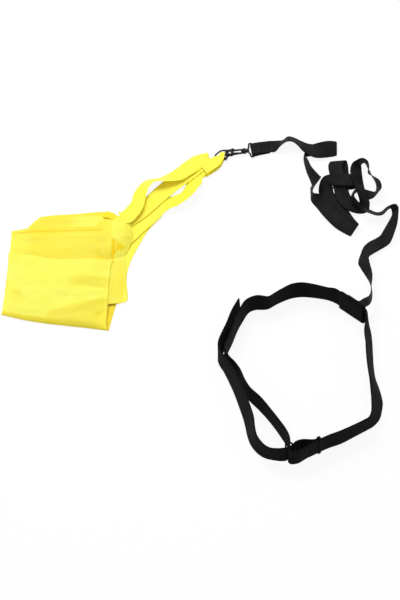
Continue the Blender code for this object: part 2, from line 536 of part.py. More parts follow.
# Waist belt in one length: sewn loop, ring, round the waist, sleeve, ring again, free tail
BELT = [
    (217.5, -318.6, 0, -3, 3.2), (211.5, -322.4, 0, -3, 3.2), (204, -325.6, 0, -2, RING_LIFT),
    (189, -326, 0, -1, RING_LIFT), (178, -329, 0, -1, RING_LIFT),
    (170.5, -335.5, 1, -1, RING_LIFT), (163.8, -344, 1, -1, RING_LIFT), (168, -349.4, 1, -3, RING_LIFT),
    (180, -347.4, 2, -3, RING_LIFT), (194, -337, 2, -3, RING_LIFT), (204, -331, 1, -3, RING_LIFT),
    (215, -324.2, 0, -3, 3.2), (231, -314, 0, -3, 2.2),
    (253, -303, -1, -3, 0.8), (275, -288, -1, -5, 0), (296, -274, -3, -7, 0), (309, -264, -9, -10, 0),
    (318, -250, -14, -9, 0), (322, -230, -18, -4, 0), (323, -213, -20, -2, 0), (318, -188, -17, -1, 0),
    (311, -163, -13, 0, 0), (308, -136, -12, 0, 0), (307, -110, -12, 0, 0), (306, -84, -13, -3, 0),
    (304, -64, -9, -3, 0.5), (299.2, -47.6, -2, -0.7, SLEEVE_LIFT),
    (*sleeve_xyz(24, 0, 0)[:2], 0, 0, SLEEVE_LIFT), (*sleeve_xyz(0, 0, 0)[:2], 0, 0, SLEEVE_LIFT),
    (*sleeve_xyz(-24, 0, 0)[:2], 0, 0, SLEEVE_LIFT), (*sleeve_xyz(-38, -0.3, 0)[:2], 0, 0, SLEEVE_LIFT),
    (231, 9, 0, -4, 0.6), (209, 14, 0, -2, 0), (188, 16, 0, 0, 0), (170, 13, 0, 0, 0), (153, 5, 1, -2, 0),
    (142, -2, 1, -3, 0), (131, -10, 0, -4, 0), (121, -12, 0, -1, 0), (110, -12, 1, 0, 0),
    (100, -16, 0, 0, 0), (94, -23, -3, 0, 0), (88, -35, -3, 1, 0), (77, -60, -2, 0, 0), (69, -85, -1, -1, 0),
    (60, -110, -1, 0, 0), (56.6, -127, 0, 0, 0), (62, -142, 1, -1, 0), (72, -156, 1, 0, 0),
    (81, -172, 1, 0, 0), (88, -191, 1, -1, 0), (98, -210, 1, -2, 0), (114, -230, 3, -3, 0),
    (131, -254, 3, -5, 0.3), (145, -278, 2, -3, 1.2), (155, -298, 3, -3, 2.6), (163, -314, 1, -3, RING_LIFT),
    (165.2, -328, 0, -2, RING_LIFT), (162, -340, 0, -3, RING_LIFT), (153, -343, 0, -3, RING_LIFT),
    (140, -341, 4, -5, RING_LIFT - 0.4), (125, -336, 7, -7, 2.2), (112, -325, 9, -8, 1),
    (101, -308, 10, -8, 0.2),
    (95, -289, 12, -8, 0), (91, -266, 14, -8, 0), (87, -247, 13, -6, 0), (81, -225, 12, -4, 0),
    (73, -197, 10, -2, 0), (64, -171, 9, -2, 0), (55, -148, 6, -3, 0), (48.5, -135, 3.5, -2, 0),
    (45.8, -122, 0, -1, 0), (53.2, -107, -7.2, -1, 0), (60.5, -90, -8.5, 0, 0), (66.5, -69, -6.5, 0, 0),
    (73.5, -44, -5.5, 0, 0), (82.5, -19, -2.5, 1, 0),
]
belt_points, belt_faces = strip_solid(standing_edges(BELT, BELT_W, 2), BELT_T, 1)
mesh_object("belt_band", belt_points, belt_faces, black_belt)

# Ring that joins the belt's two ends
ring_axis = (*RING_R, 0.0)
low, high = RING_R0, RING_LIFT + BELT_W + GAP + RING_R0
l_xy, r_xy = np.array(RING_L), np.array(RING_R)
run = (r_xy - l_xy) / np.linalg.norm(r_xy - l_xy)
path = [(*l_xy, low + 2), (*l_xy, (low + high) / 2), (*l_xy, high - 2), (*(l_xy + run * 0.6), high - 0.6),
        (*(l_xy + run * 2), high), (*(r_xy - run * 2), high), (*(r_xy - run * 0.6), high - 0.6),
        (*r_xy, high - 2), (*r_xy, (low + high) / 2), (*r_xy, low + 2), (*(r_xy - run * 0.6), low + 0.6),
        (*(r_xy - run * 2), low), (*(l_xy + run * 2), low), (*(l_xy + run * 0.6), low + 0.6)]
mesh_object("belt_ring", *tube(path, RING_R0, 12, closed=True), black_gloss, ring_axis)

# Keeper loop round the sewn end, leaning as the belt does there
keep_at, keep_angle = (214.1, -322.7), 32.0
keep_wall, keep_room, keep_base = 0.9, BELT_T + 0.7, 3.2
keep_lean = 3.0 * math.cos(math.radians(keep_angle)) / BELT_W


def keeper_xyz(s, n, z):
    a = math.radians(keep_angle)
    n -= keep_lean * (z - keep_base)
    x, y = keep_at
    return (x + s * math.cos(a) - n * math.sin(a), y + s * math.sin(a) + n * math.cos(a), z)


def keeper_block(long, wide, low, high):
    points, faces = prism([(-long, -wide), (long, -wide), (long, wide), (-long, wide)], low, high)
    return [keeper_xyz(*p) for p in points], faces


room_low, room_high = keep_base - GAP - 0.1, keep_base + BELT_W + GAP + 0.1
outer_points, faces = keeper_block(2.6, keep_room + keep_wall, room_low - keep_wall, room_high + keep_wall)
keeper = mesh_object("belt_keeper", outer_points, faces, black_web)
inner_points, faces = keeper_block(9, keep_room, room_low, room_high)
boolean(keeper, cutter("keeper_hollow", inner_points, faces), "DIFFERENCE")
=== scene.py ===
import math

import bmesh
import bpy
import numpy as np
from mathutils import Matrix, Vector, noise


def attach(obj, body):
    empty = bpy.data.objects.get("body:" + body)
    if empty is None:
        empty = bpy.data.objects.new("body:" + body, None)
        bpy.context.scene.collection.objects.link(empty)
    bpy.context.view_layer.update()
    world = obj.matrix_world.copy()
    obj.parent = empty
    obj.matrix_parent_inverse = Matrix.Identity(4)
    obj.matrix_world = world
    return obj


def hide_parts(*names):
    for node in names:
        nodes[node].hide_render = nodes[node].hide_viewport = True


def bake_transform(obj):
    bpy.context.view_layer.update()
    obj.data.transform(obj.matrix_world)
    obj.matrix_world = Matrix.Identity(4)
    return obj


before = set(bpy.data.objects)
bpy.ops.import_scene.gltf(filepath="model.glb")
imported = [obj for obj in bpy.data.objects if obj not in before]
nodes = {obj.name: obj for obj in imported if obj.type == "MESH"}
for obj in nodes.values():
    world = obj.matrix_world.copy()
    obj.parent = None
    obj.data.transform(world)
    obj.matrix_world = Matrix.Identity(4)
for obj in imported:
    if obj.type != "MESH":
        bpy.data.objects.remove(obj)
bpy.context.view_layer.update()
scene = bpy.context.scene
MM = 0.001

# Camera: the photograph looks down at 51 degrees from far away
LOOK_AT = Vector((0.0143, 0.0094, 0.0))
TALL, FAR = 1.02, 30.0
SENSOR = 36.0
ELEVATION = math.radians(51.0)
camera = bpy.data.cameras.new("camera")
camera.sensor_width = SENSOR
camera.lens = SENSOR * FAR / TALL
camera.clip_start, camera.clip_end = 1.0, 100.0
eye = bpy.data.objects.new("camera", camera)
scene.collection.objects.link(eye)
eye.rotation_euler = (math.pi / 2 - ELEVATION, 0.0, 0.0)
eye.location = LOOK_AT + Vector((0.0, -math.cos(ELEVATION), math.sin(ELEVATION))) * FAR
scene.camera = eye
scene.view_settings.view_transform = "Standard"


def smooth_path(values, steps):
    """Smooth curve through the values. Steps is one count, or one for each stretch."""
    counts = steps if hasattr(steps, "__len__") else [steps] * (len(values) - 1)
    v = [np.array(x, float) for x in values]
    v = [2 * v[0] - v[1]] + v + [2 * v[-1] - v[-2]]
    out = []
    for a, b, c, d, count in zip(v, v[1:], v[2:], v[3:], counts):
        for k in range(count):
            t = k / count
            out.append(0.5 * (2 * b + (c - a) * t + (2 * a - 5 * b + 4 * c - d) * t * t
                              + (3 * b - a - 3 * c + d) * t**3))
    return np.array(out + [v[-2]])


def run_of(line):
    """Distance run along a line, at each of its points."""
    return np.concatenate([[0.0], np.cumsum(np.linalg.norm(np.diff(line, axis=0), axis=1))])


def read_at(where, run, values):
    """Three values that go with a line, read at a distance along it."""
    return np.array([np.interp(where, run, values[:, c]) for c in range(3)])


def face_normals(centres, sides):
    """Unit normals of a ribbon's face, at each of its centres."""
    out = np.cross(np.gradient(centres, axis=0), sides)
    return out / np.linalg.norm(out, axis=1)[:, None]


def tube_faces(start, rings, sides):
    """Faces of a capped tube whose points run ring by ring from start."""
    faces = []
    for r in range(start, start + (rings - 1) * sides, sides):
        for k in range(sides):
            m = (k + 1) % sides
            faces.append((r + k, r + m, r + sides + m, r + sides + k))
    end = start + rings * sides
    return faces + [tuple(range(start, start + sides)), tuple(reversed(range(end - sides, end)))]


def direction(azimuth, tilt):
    """Unit vector at a turn from +X and a tilt above the floor, in degrees."""
    a, t = math.radians(azimuth), math.radians(tilt)
    return np.array([math.cos(a) * math.cos(t), math.sin(a) * math.cos(t), math.sin(t)])


def ribbon_lines(rows, width, steps):
    """Centres, width directions and widths. A row is x, y, z, azimuth, tilt and perhaps width."""
    centres = smooth_path([r[:3] for r in rows], steps)
    across = smooth_path([direction(r[3], r[4]) for r in rows], steps)
    across /= np.linalg.norm(across, axis=1)[:, None]
    widths = smooth_path([[r[5] if len(r) > 5 else width] for r in rows], steps)[:, 0]
    return centres, across, widths


def new_mesh(name, points, faces, look, uvs=None):
    """A smooth mesh from points in millimetres."""
    data = bpy.data.meshes.new(name)
    data.from_pydata([tuple(float(c) * MM for c in p) for p in points], [], faces)
    data.update()
    if uvs is not None:
        layer = data.uv_layers.new(name="strip")
        for loop in data.loops:
            layer.data[loop.index].uv = uvs[loop.vertex_index]
    made = bpy.data.objects.new(name, data)
    scene.collection.objects.link(made)
    data.polygons.foreach_set("use_smooth", [True] * len(data.polygons))
    if look:
        data.materials.append(look)
    return made


def closed_mesh(name, points, faces, look, uvs=None):
    """A mesh with all its faces turned outwards."""
    made = new_mesh(name, points, faces, look, uvs)
    shaped = bmesh.new()
    shaped.from_mesh(made.data)
    bmesh.ops.recalc_face_normals(shaped, faces=shaped.faces)
    shaped.to_mesh(made.data)
    shaped.free()
    return made


def set_shade_tone(made, values):
    """Depth of the yellow at each point, which the nylon reads. It is mostly painted shade."""
    tone = made.data.attributes.new("tone", "FLOAT", "POINT")
    tone.data.foreach_set("value", values.astype(np.float32))


def ribbon(name, lines, thick, look, across=10, edge=0.55, wave=0.0):
    """A woven strap with thinner rounded edges. The strip map is metres along and across."""
    centres, sides, widths = lines
    run = run_of(centres)
    points, uvs = [], []
    for k, (c, s, n, w) in enumerate(zip(centres, sides, face_normals(centres, sides), widths)):
        line = []
        for m in range(across + 1):
            t = -1.0 + 2.0 * m / across
            t = math.copysign(1.0 - (1.0 - abs(t)) ** 1.35, t)
            rim = 1.0 - (1.0 - edge) * max(0.0, (abs(t) - 0.86) / 0.14) ** 1.5
            bow = wave * math.sin(run[k] * 0.11 + t * 1.3) * (t * t - 0.4)
            place = (run[k] * MM, w / 2 * t * MM)
            line.append((c + s * (w / 2 * t) + n * bow, n * (thick / 2 * rim), place))
        points += [p + up for p, up, uv in line] + [p - up for p, up, uv in reversed(line)]
        uvs += [uv for p, up, uv in line] + [uv for p, up, uv in reversed(line)]
    return closed_mesh(name, points, tube_faces(0, len(centres), 2 * (across + 1)), look, uvs)


class Look:
    """A material under construction: small helpers for its nodes."""

    def __init__(self, name, rough, **fixed):
        self.made = bpy.data.materials.new(name)
        self.made.use_nodes = True
        self.tree = self.made.node_tree
        self.shader = self.tree.nodes["Principled BSDF"]
        self.shader.inputs["Roughness"].default_value = rough
        for key, value in fixed.items():
            self.shader.inputs[key.replace("_", " ")].default_value = value

    def node(self, kind, **settings):
        made = self.tree.nodes.new(kind)
        for key, value in settings.items():
            setattr(made, key, value)
        return made

    def link(self, a, b):
        self.tree.links.new(a, b)

    def feed(self, socket, value):
        if hasattr(value, "links"):
            self.tree.links.new(value, socket)
        else:
            socket.default_value = value

    def math(self, kind, a, b=0.0, c=0.0):
        made = self.node("ShaderNodeMath", operation=kind)
        for socket, value in zip(made.inputs, (a, b, c)):
            self.feed(socket, value)
        return made.outputs[0]

    def times(self, a, b):
        return self.math("MULTIPLY", a, b)

    def wave(self, way, pitch):
        """Sine of a pitch in metres."""
        return self.math("SINE", self.times(way, 2 * math.pi / pitch))

    def strip(self):
        """Metres along and across, from the strip map."""
        split = self.node("ShaderNodeSeparateXYZ")
        self.link(self.node("ShaderNodeUVMap", uv_map="strip").outputs[0], split.inputs[0])
        return split.outputs[0], split.outputs[1]

    def noise(self, scale, detail=3.0, rough=0.5, stretch=None):
        made = self.node("ShaderNodeTexNoise")
        made.inputs["Scale"].default_value = scale
        made.inputs["Detail"].default_value = detail
        made.inputs["Roughness"].default_value = rough
        at = self.node("ShaderNodeTexCoord").outputs["Object"]
        if stretch:
            moved = self.node("ShaderNodeMapping")
            moved.inputs["Scale"].default_value = stretch
            self.link(at, moved.inputs[0])
            at = moved.outputs[0]
        self.link(at, made.inputs["Vector"])
        return made.outputs[0]

    def ramp(self, value, low, high, to_low=0.0, to_high=1.0):
        made = self.node("ShaderNodeMapRange")
        for socket, number in zip(list(made.inputs)[1:5], (low, high, to_low, to_high)):
            socket.default_value = number
        self.feed(made.inputs[0], value)
        return made.outputs[0]

    def mix(self, share, a, b):
        made = self.node("ShaderNodeMix", data_type="RGBA")
        self.feed(made.inputs[0], share)
        for socket, value in ((made.inputs[6], a), (made.inputs[7], b)):
            self.feed(socket, value if hasattr(value, "links") else (*value, 1.0))
        return made.outputs[2]

    def colour(self, value):
        self.feed(self.shader.inputs["Base Color"], value)

    def rough(self, value):
        self.feed(self.shader.inputs["Roughness"], value)

    def bump(self, height, deep, before=None):
        """Bump from a height of 0 to 1 that stands for deep metres."""
        made = self.node("ShaderNodeBump")
        made.inputs["Strength"].default_value = 1.0
        made.inputs["Distance"].default_value = deep
        self.link(height, made.inputs["Height"])
        if before is not None:
            self.link(before, made.inputs["Normal"])
        self.link(made.outputs[0], self.shader.inputs["Normal"])
        return made.outputs[0]


def woven(name, dark, light, pitch, slant, rough, deep, edge_tone, half, **fixed):
    """Webbing: slanted ribs, a firmer edge at half its width, faint fading and lint."""
    look = Look(name, rough, **fixed)
    along, across = look.strip()
    side = look.math("ABSOLUTE", across)
    slanted = look.math("MULTIPLY_ADD", along, 2 * math.pi / pitch, look.times(side, slant))
    rib = look.math("SINE", slanted)
    warp = look.wave(across, pitch * 0.8)
    cloth = look.math("MULTIPLY_ADD", look.times(rib, warp), 0.3,
                      look.math("MULTIPLY_ADD", rib, 0.2, 0.5))
    faded = look.noise(38.0, 4.0, 0.6)
    lint = look.ramp(look.noise(900.0, 2.0, 0.6), 0.66, 0.75)
    selvedge = look.ramp(side, half - 0.0018, half - 0.0006)
    tone = look.math("MULTIPLY_ADD", cloth, 0.55, look.ramp(faded, 0.3, 0.7, 0.0, 0.3))
    base = look.mix(tone, dark, light)
    base = look.mix(look.times(selvedge, 0.6), base, edge_tone)
    look.colour(look.mix(look.times(lint, 0.25), base, edge_tone))
    look.rough(look.ramp(cloth, 0.0, 1.0, rough + 0.1, rough - 0.06))
    soft = look.bump(look.noise(120.0, 2.0), 0.0003)
    look.bump(cloth, deep, soft)
    return look.made


black_web = woven(
    "black webbing", dark=(0.0004, 0.0004, 0.0006), light=(0.027, 0.027, 0.029), pitch=0.0017,
    slant=900.0, rough=0.5, deep=0.0003, edge_tone=(0.002, 0.002, 0.003), half=0.0125,
    Specular_IOR_Level=0.03)
black_binding = woven(
    "black binding", dark=(0.0006, 0.0006, 0.0008), light=(0.007, 0.007, 0.008), pitch=0.0013,
    slant=0.0, rough=0.6, deep=0.00018, edge_tone=(0.003, 0.003, 0.004), half=0.02,
    Specular_IOR_Level=0.03)
GLOWS = {"Subsurface_Scale": 0.004, "Subsurface_Radius": (1.0, 0.85, 0.1)}
yellow_web = woven(
    "yellow webbing", dark=(0.92, 0.74, 0.02), light=(1.0, 0.94, 0.08), pitch=0.0016, slant=700.0,
    rough=0.5, deep=0.00012, edge_tone=(1.0, 0.90, 0.09), half=0.015, Specular_IOR_Level=0.3,
    Sheen_Weight=0.1, Sheen_Roughness=0.4, Subsurface_Weight=0.35, **GLOWS)


def belt_look():
    """Close soft pile with a slight lengthwise grain and a bound edge."""
    look = Look("belt band", 0.85, Specular_IOR_Level=0.05, Sheen_Weight=0.04,
                Sheen_Roughness=0.45)
    look.shader.inputs["Sheen Tint"].default_value = (0.55, 0.56, 0.62, 1)
    along, across = look.strip()
    pile = look.noise(1900.0, 3.0, 0.7)
    grain = look.noise(60.0, 3.0, 0.5, stretch=(1.0, 1.0, 14.0))
    side = look.math("ABSOLUTE", across)
    bound = look.ramp(side, 0.0167, 0.0174)
    off_seam = look.math("ABSOLUTE", look.math("SUBTRACT", side, 0.0163))
    seam = look.math("SUBTRACT", 1.0, look.ramp(off_seam, 0.0, 0.0006))
    dash = look.ramp(look.wave(along, 0.0034), -0.3, 0.2)
    stitch = look.times(seam, dash)
    tone = look.math("MULTIPLY_ADD", pile, 0.6, look.ramp(grain, 0.35, 0.65, -0.1, 0.4))
    base = look.mix(tone, (0.0009, 0.0009, 0.0012), (0.0046, 0.0046, 0.0058))
    base = look.mix(look.times(bound, 0.5), base, (0.006, 0.006, 0.0072))
    look.colour(look.mix(look.times(stitch, 0.6), base, (0.012, 0.012, 0.0135)))
    soft = look.bump(pile, 0.0005)
    binding = look.times(bound, 0.6)
    look.bump(look.math("SUBTRACT", binding, look.times(seam, 0.8)), 0.0006, soft)
    return look.made


def nylon_look():
    """Thin coated nylon: fine square weave, slightly uneven yellow, satin gloss, and painted shade
    in deep yellow where the tone attribute is high.
    """
    look = Look("yellow nylon", 0.36, Specular_IOR_Level=0.1, Subsurface_Weight=0.3, **GLOWS)
    ways = look.strip()
    weave = look.times(*[look.wave(way, 0.0009) for way in ways])
    stop = look.math("MAXIMUM", *[look.ramp(look.wave(way, 0.006), 0.93, 1.0) for way in ways])
    uneven = look.ramp(look.noise(22.0, 4.0, 0.55), 0.35, 0.7)
    base = look.mix(uneven, (0.99, 0.92, 0.085), (1.0, 0.975, 0.13))
    base = look.mix(look.times(stop, 0.16), base, (0.95, 0.72, 0.012))
    # Painted shade: the tone attribute turns the yellow deep where the cloth lies in shade
    tone = look.node("ShaderNodeAttribute", attribute_name="tone").outputs["Fac"]
    look.colour(look.mix(tone, base, (0.99, 0.66, 0.001)))
    look.rough(look.ramp(look.noise(45.0, 3.0), 0.3, 0.7, 0.32, 0.44))
    crumple = look.bump(look.noise(75.0, 5.0, 0.55), 0.0012)
    ribs = look.math("MULTIPLY_ADD", weave, 0.4, look.times(stop, 0.6))
    look.bump(ribs, 0.00008, crumple)
    return look.made


def plastic_look(name, gloss):
    """Moulded black plastic with faint flow marks and rubbed edges."""
    look = Look(name, 0.2, Specular_IOR_Level=0.14 * gloss, Coat_Weight=0.04 * gloss,
                Coat_Roughness=0.1)
    worn = look.ramp(look.node("ShaderNodeNewGeometry").outputs["Pointiness"], 0.52, 0.62)
    scuffs = look.ramp(look.noise(260.0, 6.0, 0.7), 0.5, 0.72)
    base = look.mix(look.noise(90.0, 3.0), (0.001, 0.001, 0.0015), (0.004, 0.004, 0.005))
    look.colour(look.mix(look.times(worn, 0.35), base, (0.02, 0.02, 0.023)))
    look.rough(look.math("MULTIPLY_ADD", scuffs, 0.16, 0.42 - 0.28 * gloss))
    look.bump(look.noise(420.0, 3.0), 0.00006)
    return look.made


def steel_look():
    """Drawn spring wire."""
    look = Look("spring steel", 0.28, Metallic=1.0)
    drawn = look.noise(700.0, 4.0, 0.6, stretch=(1.0, 1.0, 0.2))
    look.colour(look.mix(drawn, (0.16, 0.16, 0.17), (0.36, 0.36, 0.38)))
    look.rough(look.ramp(drawn, 0.3, 0.7, 0.2, 0.38))
    look.bump(drawn, 0.00003)
    return look.made


def thread_look(name, dark, light):
    """Sewing thread, uneven in tone."""
    look = Look(name, 0.55, Specular_IOR_Level=0.3, Sheen_Weight=0.1)
    look.colour(look.mix(look.noise(1500.0, 3.0), dark, light))
    look.bump(look.noise(2200.0, 2.0), 0.00008)
    return look.made


belt_cloth = belt_look()
nylon = nylon_look()
plastic = plastic_look("gloss black plastic", 1.0)
satin = plastic_look("satin black plastic", 0.25)
steel = steel_look()
yellow_thread = thread_look("yellow thread", (0.90, 0.62, 0.01), (1.0, 0.82, 0.05))
black_thread = thread_look("black thread", (0.008, 0.008, 0.009), (0.035, 0.035, 0.038))

for name, look in (("hook_body", plastic), ("hook_gate", plastic), ("swivel_eye", plastic),
                   ("belt_ring", satin), ("gate_pin", steel), ("gate_spring", steel)):
    nodes[name].data.materials.clear()
    nodes[name].data.materials.append(look)

# Ribbons of the object: routes are the same as in the CAD, in millimetres
GAP = 0.3
TETHER_W, TETHER_T = 25.0, 1.5
BELT_W, BELT_T = 39.0, 3.0
STRAP_W, STRAP_T = 30.0, 1.4
LOOP_T = 1.2
HOOK_ANGLE = 9.0
HOOK_AT = (101.3, 334.9, 5.2)
EYE_BAR_P, EYE_R, WRAP_EASE = -3.6, 1.5, 0.15
CROSS_P, CROSS_Q, CROSS_W = 49.3, 1.9, 7.8
LOOP_TOP_Z, LOOP_LOW_Z = 9.1, 0.8
RING_LIFT = 3.5
SLEEVE_AT, SLEEVE_ANGLE = (273.5, -23.0), -40.7
SLEEVE_L, SLEEVE_WALL = 53.0, 1.2
SLEEVE_IN, SLEEVE_OUT = -3.6, 1.8
SLEEVE_LIFT = SLEEVE_WALL + GAP
SEWN_Z = 27.5
KEEPER_AT, KEEPER_ANGLE = (214.1, -322.7), 32.0
KEEPER_L, KEEPER_WALL, KEEPER_RIM, KEEPER_ROOM = 5.2, 0.9, 1.0, BELT_T + 0.7
BELT_LOW, BELT_LEAN = 3.2, 3.0  # the belt's lift and lean at the keeper


def hook_xyz(p, q, z=None):
    """Hook frame to world: p from the swivel towards the claw tip, q towards the bow."""
    a = math.radians(HOOK_ANGLE)
    x = HOOK_AT[0] - p * math.cos(a) - q * math.sin(a)
    y = HOOK_AT[1] - p * math.sin(a) + q * math.cos(a)
    return (x, y, HOOK_AT[2] if z is None else z)


def sleeve_xyz(s, n, z):
    """Sleeve frame to world: s along the belt, n away from the wearer."""
    a = math.radians(SLEEVE_ANGLE)
    x, y = SLEEVE_AT
    return (x + s * math.cos(a) - n * math.sin(a), y + s * math.sin(a) + n * math.cos(a), z)


UP = (0, 0, 1)

# A stitch is a short six-sided thread: shares of its length, with its thickness there
STITCH = ((-0.5, 0.35), (-0.3, 0.9), (0.0, 1.0), (0.3, 0.9), (0.5, 0.35))
STITCH_SIDES = 6


def stitches(name, rows, body, look, pitch=2.6, length=1.9, size=0.28):
    """Lines of thread lying on cloth. A row lists (point, outward normal) along the seam."""
    points, faces = [], []
    for row in rows:
        spots, outs = np.array(row, float).transpose(1, 0, 2)
        run = run_of(spots)
        count = max(1, int(run[-1] // pitch))
        for k in range(count):
            mid = (k + 0.5) * run[-1] / count
            at, up = read_at(mid, run, spots), read_at(mid, run, outs)
            on = read_at(mid + 0.5, run, spots) - at
            on /= np.linalg.norm(on)
            up -= on * np.dot(up, on)
            up /= np.linalg.norm(up)
            side = np.cross(on, up)
            faces += tube_faces(len(points), len(STITCH), STITCH_SIDES)
            for t, r in STITCH:
                dip = (1.0 - 4 * t * t) * size * 0.5 - size * 0.25
                for step in range(STITCH_SIDES):
                    a = 2 * math.pi * step / STITCH_SIDES
                    points.append(at + on * (t * length) + up * (dip + r * size * math.sin(a))
                                  + side * (r * size * math.cos(a)))
    made = closed_mesh(name, points, faces, look)
    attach(made, body)


def on_strip(lines, thick, t, first, last, side=1):
    """Points and normals along a ribbon's face, at t of its half width."""
    centres, sides, widths = lines
    normal = face_normals(centres, sides) * side
    n = len(centres) - 1
    return [(centres[k] + sides[k] * (widths[k] / 2 * t) + normal[k] * thick / 2, normal[k])
            for k in range(int(round(first * n)), int(round(last * n)) + 1)]


def cross_strip(lines, thick, share, side=1, reach=0.84):
    """Points and normals across a ribbon at a share of its length."""
    centres, sides, widths = lines
    k = int(round(share * (len(centres) - 1)))
    normal = face_normals(centres, sides)[k] * side
    return [(centres[k] + sides[k] * (widths[k] / 2 * t) + normal * thick / 2, normal)
            for t in np.linspace(-reach, reach, 7)]


def sewing(lines, thick, towards, lengthwise, first, last, across, reach=0.84):
    """Seams on the face that looks towards a direction, along the ribbon and across it."""
    side = 1 if np.dot(on_strip(lines, thick, 0, first, first)[0][1], towards) > 0 else -1
    return ([on_strip(lines, thick, t, first, last, side) for t in lengthwise]
            + [cross_strip(lines, thick, s, side, reach) for s in across])


TETHER = [
    (134.4, 344.4, 3.6, 92, 0), (143, 345, 3.8, 90, -3), (154, 348, 9, 81, -28),
    (164, 353, 13.5, 84, -30), (175, 351, 13.5, 83, -34), (185, 344, 12, 82, -27),
    (196, 336, 10.5, 70, -14), (214, 329, 10, 78, 15), (234, 331, 10, 90, 26),
    (248, 337, 7, 90, 19), (234, 344, 3, 90, 6), (214, 339, 3.2, 84, 8), (197, 332, 4, 76, -1),
    (195, 314, 9.4, 111, -43), (200, 290, 11.6, 132, -56), (210, 270, 10.6, 162, -48),
    (213, 261, 11.4, -169, -51), (206, 247, 11.5, 112, -54), (205.5, 234, 11.9, 106, -56),
    (213, 224, 11.2, -178, -50), (223, 213, 9.5, -160, -40), (237, 192, 10, -146, -25),
    (253, 172, 9.5, -143, -26), (268, 161, 8.5, -137, -29), (278, 157, 7, -128, -26),
    (268, 175, 3.2, -141, -10), (253, 203, 3.2, -145, -9), (238, 224, 3, -154, -9),
    (230, 243, 2.2, -171, -4), (230, 256, 4.2, 164, -4), (232.8, 262.4, 9.4, 125, 2),
    (243, 262, 14, 106, 6), (262, 261, 15.5, 94, 5), (275, 260, 15.5, 90, 4),
    (284, 261, 12, 90, 0), (276, 259, 8, 81, 5), (262, 261, 6, 44, 12), (258, 279, 3.4, 31, 3),
    (257, 297, 3.6, 33, -8), (252, 309, 7.5, 12, -6), (246, 297, 10.8, 3, 2),
    (249, 275, 9.6, 12, 2), (254.4, 251, 8.8, 16, 1), (258, 232, 7.8, 20, 0), (265, 219, 8, 34, 0),
    (274, 210, 7.8, 60, 0), (285, 207, 6, 88, 2), (293, 210, 6, 122, 8), (294, 221, 12, 154, 27),
    (288, 238.5, 17.5, -158, 42), (284, 257, 16.5, -156, 38), (281, 276, 16.5, -162, 32),
    (282, 292, 16, -157, 45), (286, 300, 15, -136, 63), (293, 304, 15, -99, 71),
    (299, 301, 14, -73, 60), (302, 291, 12.5, -82, 52), (303, 281, 12, -100, 42),
    (309, 272, 12, -84, 50), (317, 262, 12, -61, 50), (320, 249, 11, -62, 44),
    (316, 238, 11, -76, 46), (309, 236, 6.2, -86, 24), (297, 239, 3.2, -87, 8),
    (284, 244, 9, -82, 34), (275, 225.2, 18, -75, 50), (278, 208.4, 19.8, -50, 58),
    (288, 197.2, 19.6, -54, 63), (303, 190, 17.5, -80, 63), (315, 188, 13, -92, 63),
    (325, 190, 12.5, -102, 63), (334, 200, 13, -92, 64), (343, 204, 14, -50, 64),
    (347, 198, 13.8, -38, 57), (347, 186, 13, -48, 50), (343, 170, 11.5, -40, 37),
    (337, 154, 9.5, -28, 28), (332, 142, 7.5, -31, 18), (325, 133, 6, -31, -1),
    (311, 123, 5.5, -45, -1), (301, 114, 5, -51, 11), (295, 101, 7.4, -51, 30),
    (293, 86, 8.8, -21, 38), (296, 74, 9.2, -27, 40), (301, 58, 10.4, -43, 48),
    (304, 44, 11, -67, 53), (305, 31, 12.7, -88, 53), (306, 16, 15.5, -100, 66),
    (305, 1, 20, -124, 82), (301, -11, 24, -130, 88), (292, -19, 26.6, -130, 90),
    (286, -24.4, 27.3, -130, 90), (282.5, -25, 27.5, -130, 90), (279.7, -22.9, 27.5, -130, 90),
]

tether_lines = ribbon_lines(TETHER, TETHER_W, 6)
tether = ribbon("tether", tether_lines, TETHER_T, black_web)
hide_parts("tether_webbing")
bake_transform(tether)
seams = [cross_strip([part[:8] for part in tether_lines], TETHER_T, 0.3)]
stitches("tether_hook_stitches", seams, "belt", black_thread)

# The tether's sewn fold round the eye bar
wrap = EYE_R + GAP + TETHER_T / 2 + WRAP_EASE
bar_at = np.array(hook_xyz(EYE_BAR_P, 0))
out_along = direction(HOOK_ANGLE, 0)
fold = [(134.6, 344.4, 3.6, 92, 0), (124, 341.6, 5.0, 95, 0), (114, 338.4, 6.9, 98, 0)]
for step in range(7):
    angle = math.radians(90 + 30 * step)
    spot = bar_at + out_along * wrap * math.cos(angle) + np.array((0, 0, wrap * math.sin(angle)))
    fold.append((*spot, 90 + HOOK_ANGLE, 0))
fold += [(114, 338.4, 2.4, 98, 0), (124, 341.6, 1.6, 95, 0), (134, 344.3, 1.2, 92, 0)]
fold_lines = ribbon_lines(fold, TETHER_W, 5)
hook_fold = ribbon("tether_hook_fold", fold_lines, TETHER_T, black_web)
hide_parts("tether_hook_loop")
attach(hook_fold, "belt")
seams = sewing(fold_lines, TETHER_T, UP, (-0.8, 0.8), 0.02, 0.17, (0.02, 0.17), 0.8)
stitches("tether_fold_stitches", seams, "belt", black_thread)

# The tether's end, sewn flat to the sleeve
seat_n = SLEEVE_OUT + SLEEVE_WALL + GAP + TETHER_T / 2
sewn = [(*sleeve_xyz(s, seat_n, SEWN_Z), 50, -90) for s in (4.0, -1.0, -7.0, -13.0)]
sewn_lines = ribbon_lines(sewn, TETHER_W, 3)
sewn_end = ribbon("tether_sewn_end", sewn_lines, TETHER_T, black_web)
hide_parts("tether_belt_end")
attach(sewn_end, "sleeve")
away = np.array(sleeve_xyz(0, 1, 0)) - np.array(sleeve_xyz(0, 0, 0))
seams = sewing(sewn_lines, TETHER_T, away, (-0.82, 0.82), 0.12, 0.92, (0.12, 0.92), 0.82)
stitches("tether_end_stitches", seams, "sleeve", black_thread)

